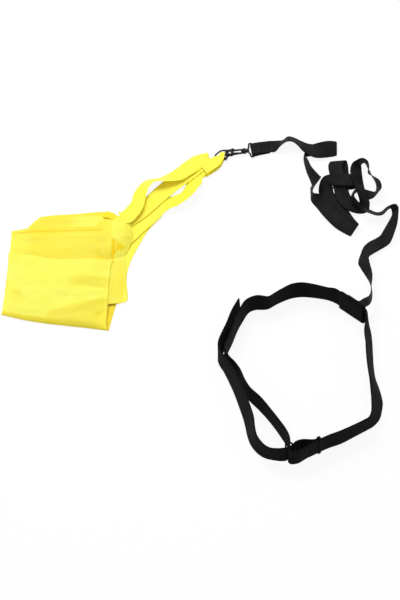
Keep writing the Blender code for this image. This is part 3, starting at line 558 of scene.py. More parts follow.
# Four canopy straps and their sewn end loop
STRAPS = {
    1: [(-121, 181, 12, 109, -4), (-112, 181, 12, 122, -6), (-103, 191, 12.3, 127, -8),
        (-93, 209, 11.8, 134, -18), (-89, 229, 10.5, 141, -26), (-83, 247, 11, 134, -36),
        (-74, 257, 13, 113, -35), (-65, 261, 14, 93, -41), (-55, 263, 14, 93, -42),
        (-42, 267, 13, 97, -29), (-22, 276, 11.5, 111, -10), (-7, 290, 10.3, 119, -4),
        (4, 300, 8.7, 119, 0), (12, 307, 7.6, 112, 0), (31, 313, 7.5, 103, 0)],
    2: [(-116, 172, 7.8, 112, 2), (-106, 181, 7.8, 122, 2), (-88, 197, 7.8, 127, 2),
        (-69, 217, 8, 125, 2), (-51, 238, 8, 129, 2), (-31, 259, 8, 129, 1),
        (-11, 277, 7.8, 125, 0), (5, 293, 6.6, 123, 0), (15, 302, 5.9, 112, 0),
        (31, 309, 5.8, 103, 0)],
    3: [(-116, 137, 5.6, 130, 2), (-106, 148, 5.4, 129, 2), (-86, 172, 5, 129, 2),
        (-67, 192, 5.2, 125, -2), (-53, 208, 6, 116, -8), (-40, 216, 7.3, 106, -14),
        (-27, 221, 8.5, 106, -18), (-13, 229, 11, 117, -28), (-4, 240, 12, 134, -30),
        (2, 255, 9.6, 135, -24), (7, 269, 5.9, 131, -8), (13, 285.8, 4.6, 120, -2, 26),
        (23.4, 297, 4.1, 107, 0, 26), (30.7, 302, 4.1, 100, 0, 26)],
    4: [(-122.5, 41, 1.8, 166, -2, 22), (-117.5, 76, 2.2, 160, -3, 19),
        (-108.6, 104, 2.2, 150, -4, 18), (-97.6, 130.5, 2.2, 154, -4, 18),
        (-85.6, 159, 2, 157, -3, 20), (-71.5, 182.5, 1.8, 144, -2, 22),
        (-57.7, 202.5, 1.7, 125, -1, 24), (-54.5, 220, 1.7, 135, -1, 23),
        (-48.2, 240.7, 1.7, 133, 0, 21), (-30.4, 261.5, 1.8, 128, 0, 24),
        (-12.9, 279, 1.9, 122, 0, 26), (3, 283, 2.1, 117, 0, 28), (17, 292, 2.3, 108, 0),
        (30, 298, 2.4, 100, 0)],
}
for number, rows in STRAPS.items():
    strap_lines = ribbon_lines(rows, STRAP_W, 6)
    made = ribbon(f"strap_{number}", strap_lines, STRAP_T, yellow_web, edge=0.45)
    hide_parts(f"canopy_strap_{number}")
    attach(made, "parachute")

middle_z = (LOOP_TOP_Z + LOOP_LOW_Z) / 2
bend = (LOOP_TOP_Z - LOOP_LOW_Z) / 2
turn_rows = []
for step in range(7):
    angle = math.radians(90 - 30 * step)
    q = CROSS_Q - bend + bend * math.cos(angle)
    at = hook_xyz(CROSS_P, q, middle_z + bend * math.sin(angle))
    turn_rows.append((*at, 180 + HOOK_ANGLE, 0, CROSS_W))
lead = [(20.3, 289.9, 118, 24), (29.4, 297.5, 121, 23.5), (40, 306, 130, 22),
        (46.8, 314, 150, 15.5), (51, 320, 174, 10.4)]
loop_rows = [(x, y, LOOP_TOP_Z, a, 0, w) for x, y, a, w in lead] + turn_rows
loop_rows += [(x, y, LOOP_LOW_Z, a, 0, w) for x, y, a, w in reversed(lead)]
loop_lines = ribbon_lines(loop_rows, STRAP_W, 5)
end_loop = ribbon("end_loop_ribbon", loop_lines, LOOP_T, yellow_web, across=12, edge=0.5)
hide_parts("end_loop")
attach(end_loop, "parachute")
seams = sewing(loop_lines, LOOP_T, UP, (-0.82, -0.3, 0.3, 0.82), 0.01, 0.14, (0.015, 0.05, 0.14))
stitches("loop_stitches", seams, "parachute", yellow_thread, 2.8, 2.1, 0.26)

# The waist belt stands on its edge
BELT = [
    (217.5, -318.6, 0, -3, 3.2), (211.5, -322.4, 0, -3, 3.2), (204, -325.6, 0, -2, RING_LIFT),
    (189, -326, 0, -1, RING_LIFT), (178, -329, 0, -1, RING_LIFT),
    (170.5, -335.5, 1, -1, RING_LIFT), (163.8, -344, 1, -1, RING_LIFT),
    (168, -349.4, 1, -3, RING_LIFT), (180, -347.4, 2, -3, RING_LIFT),
    (194, -337, 2, -3, RING_LIFT), (204, -331, 1, -3, RING_LIFT), (215, -324.2, 0, -3, 3.2),
    (231, -314, 0, -3, 2.2), (253, -303, -1, -3, 0.8), (275, -288, -1, -5), (296, -274, -3, -7),
    (309, -264, -9, -10), (318, -250, -14, -9), (322, -230, -18, -4), (323, -213, -20, -2),
    (318, -188, -17, -1), (311, -163, -13, 0), (308, -136, -12, 0), (307, -110, -12, 0),
    (306, -84, -13, -3), (304, -64, -9, -3, 0.5), (299.2, -47.6, -2, -0.7, SLEEVE_LIFT),
    (*sleeve_xyz(24, 0, 0)[:2], 0, 0, SLEEVE_LIFT), (*sleeve_xyz(0, 0, 0)[:2], 0, 0, SLEEVE_LIFT),
    (*sleeve_xyz(-24, 0, 0)[:2], 0, 0, SLEEVE_LIFT),
    (*sleeve_xyz(-38, -0.3, 0)[:2], 0, 0, SLEEVE_LIFT), (231, 9, 0, -4, 0.6), (209, 14, 0, -2),
    (188, 16, 0, 0), (170, 13, 0, 0), (153, 5, 1, -2), (142, -2, 1, -3), (131, -10, 0, -4),
    (121, -12, 0, -1), (110, -12, 1, 0), (100, -16, 0, 0), (94, -23, -3, 0), (88, -35, -3, 1),
    (77, -60, -2, 0), (69, -85, -1, -1), (60, -110, -1, 0), (56.6, -127, 0, 0), (62, -142, 1, -1),
    (72, -156, 1, 0), (81, -172, 1, 0), (88, -191, 1, -1), (98, -210, 1, -2), (114, -230, 3, -3),
    (131, -254, 3, -5, 0.3), (145, -278, 2, -3, 1.2), (155, -298, 3, -3, 2.6),
    (163, -314, 1, -3, RING_LIFT), (165.2, -328, 0, -2, RING_LIFT), (162, -340, 0, -3, RING_LIFT),
    (153, -343, 0, -3, RING_LIFT), (140, -341, 4, -5, RING_LIFT - 0.4), (125, -336, 7, -7, 2.2),
    (112, -325, 9, -8, 1), (101, -308, 10, -8, 0.2), (95, -289, 12, -8), (91, -266, 14, -8),
    (87, -247, 13, -6), (81, -225, 12, -4), (73, -197, 10, -2), (64, -171, 9, -2),
    (55, -148, 6, -3), (48.5, -135, 3.5, -2), (45.8, -122, 0, -1), (53.2, -107, -7.2, -1),
    (60.5, -90, -8.5, 0), (66.5, -69, -6.5, 0), (73.5, -44, -5.5, 0), (82.5, -19, -2.5, 1),
]


def standing_lines(rows, width, steps):
    """Ribbon lines of a belt on its edge. A row is base x, y, lean x, y and perhaps its lift."""
    raised = [0.1 + BELT_T / 2 * math.hypot(r[2], r[3]) / width for r in rows]
    feet = [(r[0], r[1], max(sum(r[4:]), low)) for r, low in zip(rows, raised)]
    base = smooth_path(feet, steps)
    lean = smooth_path([(r[2], r[3]) for r in rows], steps)
    rise = np.sqrt(width**2 - (lean**2).sum(1))
    sides = np.column_stack([lean, rise]) / width
    return base + sides * width / 2, sides, np.full(len(base), width)


belt_lines = standing_lines(BELT, BELT_W, 5)
belt = ribbon("belt_cloth", belt_lines, BELT_T, belt_cloth, across=14, edge=0.42)
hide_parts("belt_band")
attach(belt, "belt")


def rounded(half_n, half_z, corner):
    """Outline of an oblong with round corners, its straight sides cut into short pieces."""
    arcs = []
    for side_n, side_z, start in ((1, 1, 0), (-1, 1, 90), (-1, -1, 180), (1, -1, 270)):
        for step in range(7):
            t = math.radians(start + 15 * step)
            arcs.append((side_n * (half_n - corner) + corner * math.cos(t),
                         side_z * (half_z - corner) + corner * math.sin(t)))
    dense = []
    for p, q in zip(np.array(arcs), np.array(arcs[1:] + arcs[:1])):
        parts = max(1, int(math.dist(p, q) // 3))
        dense += [p + (q - p) * i / parts for i in range(parts)]
    return dense


def band(name, middle, half_n, half_z, wall, long, turned, look, corner, cuts, soft=0.0, lean=0.0):
    """A closed cloth loop of rounded oblong section, long along the belt, open at both ends."""
    a = math.radians(turned)
    outline = rounded(half_n, half_z, corner)
    run = run_of(outline)
    points, uvs = [], []
    for inner in (False, True):
        for c in range(cuts, -1, -1) if inner else range(cuts + 1):
            s = long * (c / cuts - 0.5)
            inset = wall if inner else 0.0
            if c in (0, cuts):
                inset += wall * (-0.18 if inner else 0.18)
            for far, (n, z) in zip(run, outline):
                out = n - math.copysign(inset, n) * min(1.0, abs(n) / (half_n - corner + 0.01))
                up = z - math.copysign(inset, z) * min(1.0, abs(z) / (half_z - corner + 0.01))
                if not inner:
                    wobble = soft * math.sin(z * 0.21 + s * 0.13) * math.sin(math.pi * c / cuts)
                    out += math.copysign(wobble * 0.5, wobble * n)
                out -= lean * up
                points.append((middle[0] + s * math.cos(a) - out * math.sin(a),
                               middle[1] + s * math.sin(a) + out * math.cos(a), middle[2] + up))
                uvs.append((far * MM, s * MM))
    size, faces = len(outline), []
    for start in range(0, len(points), size):
        after = (start + size) % len(points)
        for k in range(size):
            m = (k + 1) % size
            faces.append((start + k, start + m, after + m, after + k))
    return closed_mesh(name, points, faces, look, uvs)


sleeve_high = SLEEVE_LIFT + BELT_W + GAP + SLEEVE_WALL
sleeve = band("sleeve_cloth", sleeve_xyz(0, (SLEEVE_IN + SLEEVE_OUT) / 2, sleeve_high / 2),
              (SLEEVE_OUT - SLEEVE_IN) / 2 + SLEEVE_WALL, sleeve_high / 2, SLEEVE_WALL, SLEEVE_L,
              SLEEVE_ANGLE, black_binding, corner=2.6, cuts=14, soft=0.25)
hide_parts("slider_sleeve")
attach(sleeve, "sleeve")
keeper_turn = math.radians(KEEPER_ANGLE)
keeper_lean = BELT_LEAN * math.cos(keeper_turn) / BELT_W
keeper_low, keeper_high = BELT_LOW - GAP - KEEPER_RIM, BELT_LOW + BELT_W + GAP + KEEPER_RIM
keeper_mid = (keeper_low + keeper_high) / 2
off = keeper_lean * (keeper_mid - BELT_LOW)
keeper_at = (KEEPER_AT[0] + off * math.sin(keeper_turn),
             KEEPER_AT[1] - off * math.cos(keeper_turn), keeper_mid)
keeper = band("keeper_cloth", keeper_at, KEEPER_ROOM + KEEPER_WALL, (keeper_high - keeper_low) / 2,
              KEEPER_WALL, KEEPER_L, KEEPER_ANGLE, black_binding, corner=1.6, cuts=4,
              lean=keeper_lean)
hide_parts("belt_keeper")
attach(keeper, "belt")

# The canopy is one thin sheet, folded like a letter. A row crosses it from left to right: left x,
# right x, six y, six z, the layer whose folds it takes (0 is none) and the steps to the next row.
# These four are the y of its front edge and of its creases.
FRONT = (-24, -35, -43, -48.5, -53.5, -59)
CREASE = (108, 103, 94, 92, 93, 91)
BACK = (157.5, 161.5, 161, 161.5, 161.5, 156)
FAR_BACK = (190, 193, 194.5, 196, 198, 199)


def six(value):
    """Six numbers, given as six or as one that holds for all."""
    return value if hasattr(value, "__len__") else [value] * 6


def shifted(line, by):
    return [a + b for a, b in zip(line, six(by))]


SHEET = [
    (-288, -128, 128, (2.4, 3.2, 3.8, 4.2, 4.4, 4.0), 0, 3),
    (-286, -128, 150, (2.6, 3.6, 4.2, 4.6, 4.8, 4.4), 0, 5),
    (-276, -132, 169, (3.0, 4.6, 5.4, 6.2, 6.6, 6.0), 1, 8),
    (-262, -137, shifted(FAR_BACK, -4), (2.8, 4.0, 4.6, 5.4, 6.4, 6.4), 1, 6),
    (-258, -138, FAR_BACK, (1.8, 2.4, 2.6, 3.0, 3.8, 4.0), 0, 3),
    (-259, -138, shifted(FAR_BACK, -3), 0.7, 0, 3),
    (-290, -130, 150, 0.5, 0, 3),
    (-309, -126, 100, 0.5, 0, 3),
    (-317, -123, 30, 0.5, 0, 3),
    (-322, -139, shifted(FRONT, 9), 0.5, 0, 3),
    (-323, -140.5, shifted(FRONT, 1.2), (0.7, 0.7, 0.8, 0.9, 1.0, 1.0), 0, 3),
    (-323.5, -142, shifted(FRONT, (0.0, 0.0, 0.2, 0.5, 0.8, 1.0)),
     (1.8, 2.6, 3.2, 3.6, 4.0, 3.4), 0, 4),
    (-323, -144, shifted(FRONT, (1.5, 2.6, 3.6, 4.6, 5.4, 5.6)),
     (3.2, 4.8, 6.2, 7.2, 8.0, 5.0), 0, 5),
    (-322, -144.5, shifted(FRONT, (5, 8, 10, 11.5, 12.5, 12)),
     (4.4, 6.6, 8.4, 9.6, 10.4, 5.8), 2, 8),
    (-320.5, -144, (-8, -14, -18, -21, -24, -27), (4.8, 7.5, 9.5, 10.8, 11.2, 6.0), 3, 9),
    (-318, -142.5, (12, 10, 8, 6, 4, 2), (5.0, 8.5, 10.5, 11.5, 12.0, 6.2), 3, 11),
    (-315, -141, (38, 36, 34, 33, 32, 31), (5.0, 9.0, 11.0, 12.5, 12.5, 6.4), 3, 12),
    (-313.5, -139, (68, 66, 62, 61, 61, 60), (5.0, 8.6, 10.6, 12.0, 12.0, 6.6), 3, 9),
    (-312, -136.5, shifted(CREASE, -9), (5.5, 8.0, 9.5, 10.5, 10.8, 6.6), 3, 7),
    (-311.5, -135.5, shifted(CREASE, -2), (5.6, 7.9, 9.0, 9.6, 9.8, 6.6), 2, 3),
    (-311, -135, CREASE, (4.8, 6.9, 7.8, 8.4, 8.6, 6.1), 0, 2),
    (-311, -134, shifted(CREASE, -2), (3.9, 5.8, 6.6, 7.2, 7.4, 5.4), 0, 4),
    (-313, -143, 66, (3.8, 5.2, 5.6, 6.0, 6.0, 4.5), 4, 5),
    (-315, -143, 36, (3.8, 4.8, 5.2, 5.6, 5.8, 4.3), 4, 5),
    (-318, -143, (7, 7, 7, 5, 5, 4), (3.8, 4.4, 4.6, 5.0, 5.2, 4.0), 0, 2),
    (-318, -142, (4, 4, 4, 1, -1, -2), (3.3, 3.7, 3.9, 4.1, 4.1, 3.6), 0, 2),
    (-318, -110.8, (6, 6, 6, 2, -2.6, 3.2), (2.8, 3.0, 3.2, 3.3, 3.8, 3.2), 0, 4),
    (-315, -111, 40, (2.7, 3.2, 3.4, 3.6, 4.7, 3.0), 0, 4),
    (-312.5, -111.5, 78, (2.8, 3.6, 4.0, 4.0, 4.9, 3.0), 0, 6),
    (-310.5, -112.5, 98, (3.6, 4.8, 5.6, 6.0, 6.0, 3.2), 5, 8),
    (-309.5, -114, 118, (4.6, 7.2, 8.4, 9.0, 9.4, 6.0), 5, 9),
    (-308, -117, 138, (4.6, 7.6, 9.0, 9.6, 10.4, 8.5), 5, 12),
    (-306.5, -120, shifted(BACK, -2), (4.4, 7.0, 8.3, 8.9, 9.8, 8.8), 5, 3),
    (-306, -121, BACK, (3.8, 6.1, 7.3, 7.9, 8.8, 7.9), 0, 2),
    (-306, -121, shifted(BACK, -2), (3.2, 5.1, 6.3, 6.9, 7.8, 7.0), 0, 4),
    (-306, -121, 138, (3.0, 4.8, 6.0, 6.4, 7.2, 6.4), 0, 0),
]

# Soft creases of each layer: x1, y1, x2, y2, height, half width, in millimetres
FOLDS = {
    1: [(-265, 170, -140, 172, -1.0, 5), (-250, 181, -150, 184, 0.9, 4),
        (-230, 163, -150, 166, 0.8, 4)],
    3: [(-229, 56, -144, 50, 2.0, 7), (-195, 33, -143, 30, -2.0, 6), (-304, 24, -285, 3, -1.9, 6),
        (-287, 41, -246, 49, 0.9, 5), (-246, 49, -180, 43, 0.8, 5), (-190, 37, -222, -6, -0.9, 8),
        (-209, -21, -146, 10, 2.2, 8), (-160, -35, -146, -20, -1.8, 6),
        (-300, -14, -250, -22, 1.0, 6), (-260, 75, -180, 78, 0.8, 9),
        (-302, 82, -270, 70, -1.0, 7), (-240, -25, -200, -5, 1.0, 9)],
    4: [(-125, 10, -118, 60, 0.6, 4)],
    5: [(-306, 150, -240, 149, -1.2, 3), (-240, 149, -150, 150, -1.3, 3.5),
        (-290, 140, -150, 141, 1.1, 4), (-170, 141, -156, 121, -1.9, 5),
        (-156, 121, -141, 98, -1.7, 5), (-156, 144, -134, 117, 1.6, 5),
        (-168, 131, -158, 108, 1.3, 4), (-300, 120, -262, 106, 1.0, 7),
        (-285, 132, -220, 122, -0.9, 8), (-145, 138, -128, 104, -1.5, 4),
        (-138, 146, -118, 118, 1.4, 3.5)],
}


def fold_height(x, y, lines):
    """Height of the soft creases at each point."""
    total = np.zeros_like(x)
    for x1, y1, x2, y2, high, wide in lines:
        dx, dy = x2 - x1, y2 - y1
        t = np.clip(((x - x1) * dx + (y - y1) * dy) / (dx * dx + dy * dy), 0, 1)
        away = np.hypot(x - x1 - t * dx, y - y1 - t * dy)
        end = 1.0 - 0.55 * np.abs(2 * t - 1.0) ** 3
        total += high * end * np.exp(-((away / wide) ** 2))
    return total


def crumple(x, y, seed, size, stretch=1.0, turned=0.0):
    """Smooth noise of about -1 to 1, drawn out along one direction."""
    a = math.radians(turned)
    out = np.empty_like(x)
    for k in np.ndindex(x.shape):
        p = (x[k] * math.cos(a) + y[k] * math.sin(a)) / (size * stretch)
        q = (-x[k] * math.sin(a) + y[k] * math.cos(a)) / size
        out[k] = noise.noise(Vector((p, q, seed)))
    return out


def ridged(x, y, seed, size, stretch=1.0, turned=0.0):
    """Narrow crests between soft hollows, like creased thin cloth."""
    return 0.5 - np.abs(crumple(x, y, seed, size, stretch, turned)) * 2.2


NOTCH_X, NOTCH_W = -133.4, 1.9
NOTCH_IN_BACK, NOTCH_IN_CORNER = 3.6, 4.6


def notch(x, y):
    """The narrow valley where the gathered corner meets the back panel."""
    ends = np.clip((140.0 - y) / 26.0, 0, 1) * np.clip((y - 92) / 6, 0, 1)
    return np.exp(-(((x - NOTCH_X) / NOTCH_W) ** 2)) * ends


# How much each layer is crumpled: 1 is the far band, 2 and 3 the front flap, 4 the right panel and
# 5 the back panel
CRUMPLED = {1: 0.8, 2: 0.5, 3: 1.0, 4: 0.4, 5: 1.0}
COLUMNS = 110
LOWEST, CLOTH_T = 0.45, 0.35
PACKET_W, CORNER_L, CORNER_W = 0.19, 0.06, 0.08  # of the strip map, in metres
shares = np.linspace(0.0, 1.0, COLUMNS + 1)


def row_line(left, right, ys, zs):
    """Points of one row of the sheet, from left to right."""
    y, z = (smooth_path([[v] for v in six(part)], 40)[:, 0] for part in (ys, zs))
    at = np.linspace(0.0, 1.0, len(y))
    x = left + (right - left) * shares
    return np.column_stack([x, np.interp(shares, at, y), np.interp(shares, at, z)])


row_steps = [max(1, row[5]) for row in SHEET[:-1]]
at_row = [k + s / n for k, n in enumerate(row_steps) for s in range(n)] + [len(row_steps)]
layers = np.array([SHEET[int(k)][4] for k in at_row])
surface = smooth_path([row_line(*row[:4]) for row in SHEET], row_steps)
height = np.zeros(surface.shape[:2])
for layer, amount in CRUMPLED.items():
    rows_in = layers == layer
    x, y = surface[rows_in, :, 0], surface[rows_in, :, 1]
    height[rows_in] = fold_height(x, y, FOLDS.get(3 if layer == 2 else layer, [])) + amount * (
        0.75 * crumple(x, y, layer * 3.7, 34.0, 1.7, 8.0)
        + 0.55 * ridged(x, y, layer * 5.1 + 2, 26.0, 2.6, -12.0)
        + 0.22 * ridged(x, y, layer * 7.3 + 4, 11.0, 2.0, 20.0)
        + 0.10 * crumple(x, y, layer * 2.2 + 9, 4.5)
    )
rim = np.minimum(1.0, np.minimum(shares, 1.0 - shares) * 14.0)
ease = np.where(layers > 0, 1.0, 0.0)
blur = np.convolve(np.pad(ease, 3, mode="edge"), np.ones(7) / 7, mode="valid")
surface[:, :, 2] += height * (0.35 + 0.65 * rim)[None, :] * np.minimum(ease, blur)[:, None]
back_rows = layers == 5
back_x, back_y = surface[back_rows, :, 0], surface[back_rows, :, 1]
surface[back_rows, :, 2] -= NOTCH_IN_BACK * notch(back_x, back_y)
surface[:, :, 2] = np.maximum(surface[:, :, 2], LOWEST)

# The raw side edges waver a little
waver = np.array([noise.noise(Vector((k * 0.11, 3.3, 0))) for k in range(len(surface))])
pull = np.maximum(0.0, 1.0 - np.minimum(shares, 1.0 - shares) * 20.0)
surface[:, :, 0] += waver[:, None] * 1.6 * pull * np.where(shares > 0.5, 1, -1)

count, width = surface.shape[:2]
down = run_of(surface[:, width // 2])
points = [tuple(p) for p in surface.reshape(-1, 3)]
uvs = [(down[r] * MM, shares[c] * PACKET_W) for r in range(count) for c in range(width)]
faces = []
for r in range(count - 1):
    for c in range(width - 1):
        b = r * width + c
        faces.append((b, b + 1, b + width + 1, b + width))

# Cloth gathered into the sewn corner, where three straps start
GATHER = [
    [(-168, 100, 5.5), (-169, 116, 6.8), (-169, 136, 7.0), (-166, 154, 6.6),
     (-162, 170, 5.4), (-157, 184, 4.0)],
    [(-154, 97, 4.6), (-155, 112, 8.6), (-155, 133, 10.2), (-153, 153, 10.4),
     (-151, 171, 8.6), (-147, 188, 5.2)],
    [(-140, 95, 3.8), (-140, 110, 9.6), (-140, 131, 12.6), (-139, 152, 13.2),
     (-137, 171, 11.6), (-135, 190, 6.6)],
    [(-129, 96, 3.6), (-127, 109, 8.8), (-126, 129, 13.0), (-125, 150, 14.6),
     (-124, 169, 13.6), (-125, 188, 8.6)],
    [(-119, 100, 3.2), (-116, 112, 6.8), (-113, 130, 10.8), (-112, 148, 13.2),
     (-112, 165, 13.4), (-116, 183, 10.4)],
    [(-112, 105, 3.0), (-107, 116, 3.6), (-103, 131, 5.6), (-101, 146, 7.6),
     (-103, 161, 9.6), (-110, 176, 9.6)],
]
PLEATS_X, PLEATS_END, PLEAT = -128.0, 138.0, 4.6


def fan(x, y):
    """Angle through the pleats, which spread towards the near edge."""
    return 2 * math.pi * (x - PLEATS_X) / (PLEAT + (PLEATS_END - y) * 0.03)


fine = smooth_path([smooth_path(row, 12) for row in GATHER], 10)
gx, gy = fine[:, :, 0], fine[:, :, 1]
rows_g, cols_g = gx.shape
h, v = np.meshgrid(np.linspace(0, 1, cols_g), np.linspace(0, 1, rows_g))
low = np.clip((PLEATS_END - gy) / 22.0, 0, 1)
pleats = np.sin(fan(gx, gy)) * 0.75 * low * np.clip((gx + 150.0) / 12.0, 0.2, 1.0)
pleats += 0.5 * np.sin(h * 31.0 + 1.4 * np.sin(v * 5.0)) * (0.2 + 0.8 * v**2) * (1.0 - low)
fine[:, :, 2] += pleats * np.minimum(1.0, np.minimum(h, 1 - h) * 6 + 0.2)
fine[:, :, 2] -= NOTCH_IN_CORNER * notch(gx, gy)
fine[:, :, 2] += 0.5 * ridged(gx, gy, 31.0, 14.0, 1.8, 35.0) + 0.3 * crumple(gx, gy, 37.0, 7.0)
start = len(points)
points += [tuple(p) for p in fine.reshape(-1, 3)]
uvs += [(v[r, c] * CORNER_L, h[r, c] * CORNER_W) for r in range(rows_g) for c in range(cols_g)]
for r in range(rows_g - 1):
    for c in range(cols_g - 1):
        b = start + r * cols_g + c
        faces.append((b, b + cols_g, b + cols_g + 1, b + 1))


def share(inside, soft):
    """0 to 1 across a soft edge, from the distance inside it."""
    return np.clip(inside / soft + 0.5, 0, 1)


def patch(x, y, corners, soft):
    """Share of a convex patch with a soft edge. Its corners run against the clock."""
    depth = [((bx - ax) * (y - ay) - (by - ay) * (x - ax)) / math.hypot(bx - ax, by - ay)
             for (ax, ay), (bx, by) in zip(corners, corners[1:] + corners[:1])]
    return share(np.min(depth, axis=0), soft)


# Tone of the cloth, painted shade for the most part: 0 is a single bright layer, 1 the deepest
# yellow, painted on doubled cloth, on cloth turned away from the light and in its hollows. The
# back panel also gets a dark line along its hem seam.
sx, sy = surface[:, :, 0], surface[:, :, 1]
fifths = np.linspace(0.0, 1.0, 6)
near_edge, crest = np.interp(shares, fifths, FRONT), np.interp(shares, fifths, BACK)
# Painted shade on the far band, lighter right of x -196 between y 164 and 188
far_band_shade = 0.5 - 0.5 * share(sx + 196, 30) * share(sy - 164, 5) * share(188 - sy, 7)
# Back panel: painted shade, lighter at its left end, deeper near the crest and beside the gathered
# corner, with a dark line along the hem seam 6.8 mm before the crest
back_panel_shade_and_seam = (0.44 - 0.2 * share(-277 - sx, 14) + 0.15 * share(sy - crest + 8, 4)
              + 0.45 * share(1.1 - np.abs(sy - crest + 6.8), 1.0)
              + 0.3 * patch(sx, sy, [(-158, 92), (-137, 92), (-137, 124), (-158, 124)], 10))
# Painted shade on the front flap: a band from y 30.5 to 53, a shaded triangle below this line, the
# steep front fold and its lower left
turned = np.interp(sx, (-260, -239, -200, -164, -145), (-34, -22, -9, 2, 6))
front_flap_shade = np.max([
    0.3 * share(sx + 207, 10) * share(sy - 30.5, 2) * share(53 - sy, 9),
    0.42 * share(sx + 245, 16) * share(turned - sy, 3),
    0.5 * share(near_edge + 7 - sy, 1.6),
    0.3 * patch(sx, sy, [(-305, 2), (-291, 2), (-291, 24), (-305, 24)], 9),
    0.08 * share(-298 - sx, 12) * share(-6 - sy, 10),
], axis=0)
# Painted shade on the right panel, with two thin darker lines down it
right_panel_shade = (0.3 + 0.3 * share(0.9 - np.abs(sx + 121.6), 0.8)
               + 0.25 * share(0.9 - np.abs(sx + 118.2), 0.8))
# Patches of painted shade on the near face of the gathered corner
steep = [(-135.3, 97.6), (-128.5, 108), (-128.5, 132), (-135.3, 134)]
shelf = [(-128.5, 108), (-120, 113), (-109.8, 117), (-111.5, 122), (-121.7, 126), (-128.5, 132)]


def corner_shade(x, y):
    """Painted shade: deeper yellow on the near face of the gathered corner, which is turned from
    the key lamp, between pleats and in its valley.
    """
    crests = np.clip(np.sin(fan(x, y)), 0, 1)
    return np.max([
        np.full_like(x, 0.15),
        (1.0 - 0.35 * crests * share(y - 112, 6)) * patch(x, y, steep, 3),
        (1.0 - 0.35 * crests) * patch(x, y, shelf, 4),
        1.15 * notch(x, y) * share(120 - y, 12),
    ], axis=0)


back_shade_and_seam = np.where(sx > -137, corner_shade(sx, sy), back_panel_shade_and_seam)
# Each tone holds up to a row of the sheet; the under layer and the layers below the crease get
# flat painted shade
zones = [(4.5, far_band_shade), (9.6, 0.78), (20.6, front_flap_shade), (25, 0.3), (28.6, right_panel_shade)]
before = [np.array(at_row)[:, None] < last for last, tone in zones]
sheet_shade_and_seam = np.select(before, [tone for last, tone in zones], back_shade_and_seam)
# Painted shade on the gathered corner, a deeper patch beside the tab and along its left edge
gather_shade = np.max([
    corner_shade(gx, gy),
    0.4 * patch(gx, gy, [(-130, 170), (-116, 170), (-116, 186), (-130, 190)], 6),
    0.44 * share(-136 - gx, 3),
], axis=0)
canopy = new_mesh("canopy_cloth", points, faces, nylon, uvs)
set_shade_tone(canopy, np.concatenate([sheet_shade_and_seam.ravel(), gather_shade.ravel()]))
thick = canopy.modifiers.new("cloth thickness", "SOLIDIFY")
thick.thickness = CLOTH_T * MM
thick.offset = 0.0
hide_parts("canopy")
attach(canopy, "parachute")

# Small knotted tab at the sewn corner
tab_rows = [(-151, 189, 7.5, 75, -8, 8), (-148, 188.5, 9.5, 70, 5, 11),
            (-144, 188, 11, 75, 12, 13), (-140, 186, 11, 85, 8, 12),
            (-136, 184.5, 11.5, 80, 12, 13), (-132, 182.5, 11, 75, 5, 12),
            (-129, 180, 9, 70, -10, 9)]
tab_lines = ribbon_lines(tab_rows, 12, 8)
tab = ribbon("corner_tab", tab_lines, 0.9, nylon, across=8, edge=0.5, wave=0.9)
# Painted shade: the whole knotted tab is given a deep yellow
set_shade_tone(tab, np.full(len(tab.data.vertices), 0.8))
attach(tab, "parachute")

# Floor and light: the sky lights the object at half the strength at which it is seen
FLOOR, SKY_LIGHT = 3000, 0.5
corners = [(x * FLOOR, y * FLOOR, 0) for x, y in ((-1, -1), (1, -1), (1, 1), (-1, 1))]
floor = new_mesh("floor", corners, [(0, 1, 2, 3)], None)


def background_rays(tree, rays):
    """1 where the camera, a gloss or glass sees the background."""
    total = rays.outputs["Is Camera Ray"]
    for name in ("Is Glossy Ray", "Is Transmission Ray"):
        add = tree.nodes.new("ShaderNodeMath")
        add.operation = "ADD"
        add.use_clamp = True
        tree.links.new(total, add.inputs[0])
        tree.links.new(rays.outputs[name], add.inputs[1])
        total = add.outputs[0]
    return total


def fresh_nodes(tree, *kinds):
    """New shader nodes of a cleared tree."""
    tree.nodes.clear()
    return [tree.nodes.new("ShaderNode" + kind) for kind in kinds]


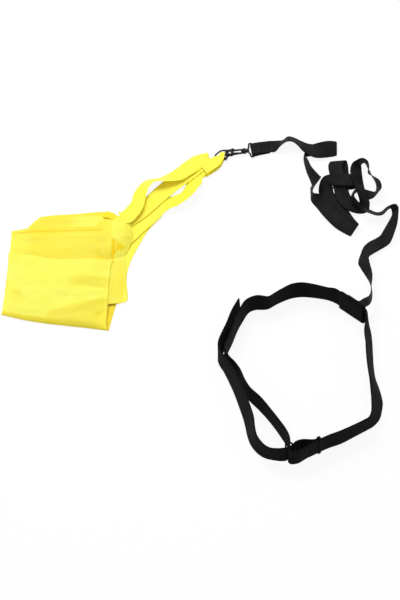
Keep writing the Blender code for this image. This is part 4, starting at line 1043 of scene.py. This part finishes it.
def look_floor():
    """Pale and matt, nearly white where it is seen as background, with the object's shadow."""
    made = bpy.data.materials.new("floor")
    made.use_nodes = True
    tree = made.node_tree
    out, mix, seen, part, glow, base = fresh_nodes(
        tree, "OutputMaterial", "MixShader", "LightPath", "Math", "Emission", "BsdfDiffuse")
    part.operation = "MULTIPLY"
    part.inputs[1].default_value = 0.9
    glow.inputs["Color"].default_value = (1, 1, 1, 1)
    glow.inputs["Strength"].default_value = 1.0
    base.inputs["Color"].default_value = (0.93, 0.93, 0.93, 1)
    tree.links.new(background_rays(tree, seen), part.inputs[0])
    tree.links.new(part.outputs[0], mix.inputs[0])
    tree.links.new(base.outputs[0], mix.inputs[1])
    tree.links.new(glow.outputs[0], mix.inputs[2])
    tree.links.new(mix.outputs[0], out.inputs["Surface"])
    return made


floor.data.materials.append(look_floor())

world = bpy.data.worlds.new("studio")
scene.world = world
world.use_nodes = True
sky = world.node_tree
w_out, w_back, w_path, w_level = fresh_nodes(
    sky, "OutputWorld", "Background", "LightPath", "MapRange")
w_back.inputs["Color"].default_value = (1, 1, 1, 1)
w_level.inputs["To Min"].default_value = SKY_LIGHT
w_level.inputs["To Max"].default_value = 1.0
sky.links.new(background_rays(sky, w_path), w_level.inputs["Value"])
sky.links.new(w_level.outputs["Result"], w_back.inputs["Strength"])
sky.links.new(w_back.outputs[0], w_out.inputs["Surface"])


def softbox(name, azimuth, height, away, size, power):
    """An oblong lamp at a compass angle and height in degrees, facing the object."""
    lamp = bpy.data.lights.new(name, "AREA")
    lamp.shape = "RECTANGLE"
    lamp.size, lamp.size_y = size
    lamp.energy = power
    made = bpy.data.objects.new(name, lamp)
    scene.collection.objects.link(made)
    a, e = math.radians(azimuth), math.radians(height)
    out = Vector((math.sin(a) * math.cos(e), math.cos(a) * math.cos(e), math.sin(e)))
    made.location = LOOK_AT + out * away
    made.rotation_mode = "QUATERNION"
    made.rotation_quaternion = (LOOK_AT - made.location).to_track_quat("-Z", "Y")


softbox("key", -25.0, 56.0, 2.2, (1.3, 1.1), 36.0)
softbox("fill", 150.0, 50.0, 2.4, (1.4, 1.4), 9.0)
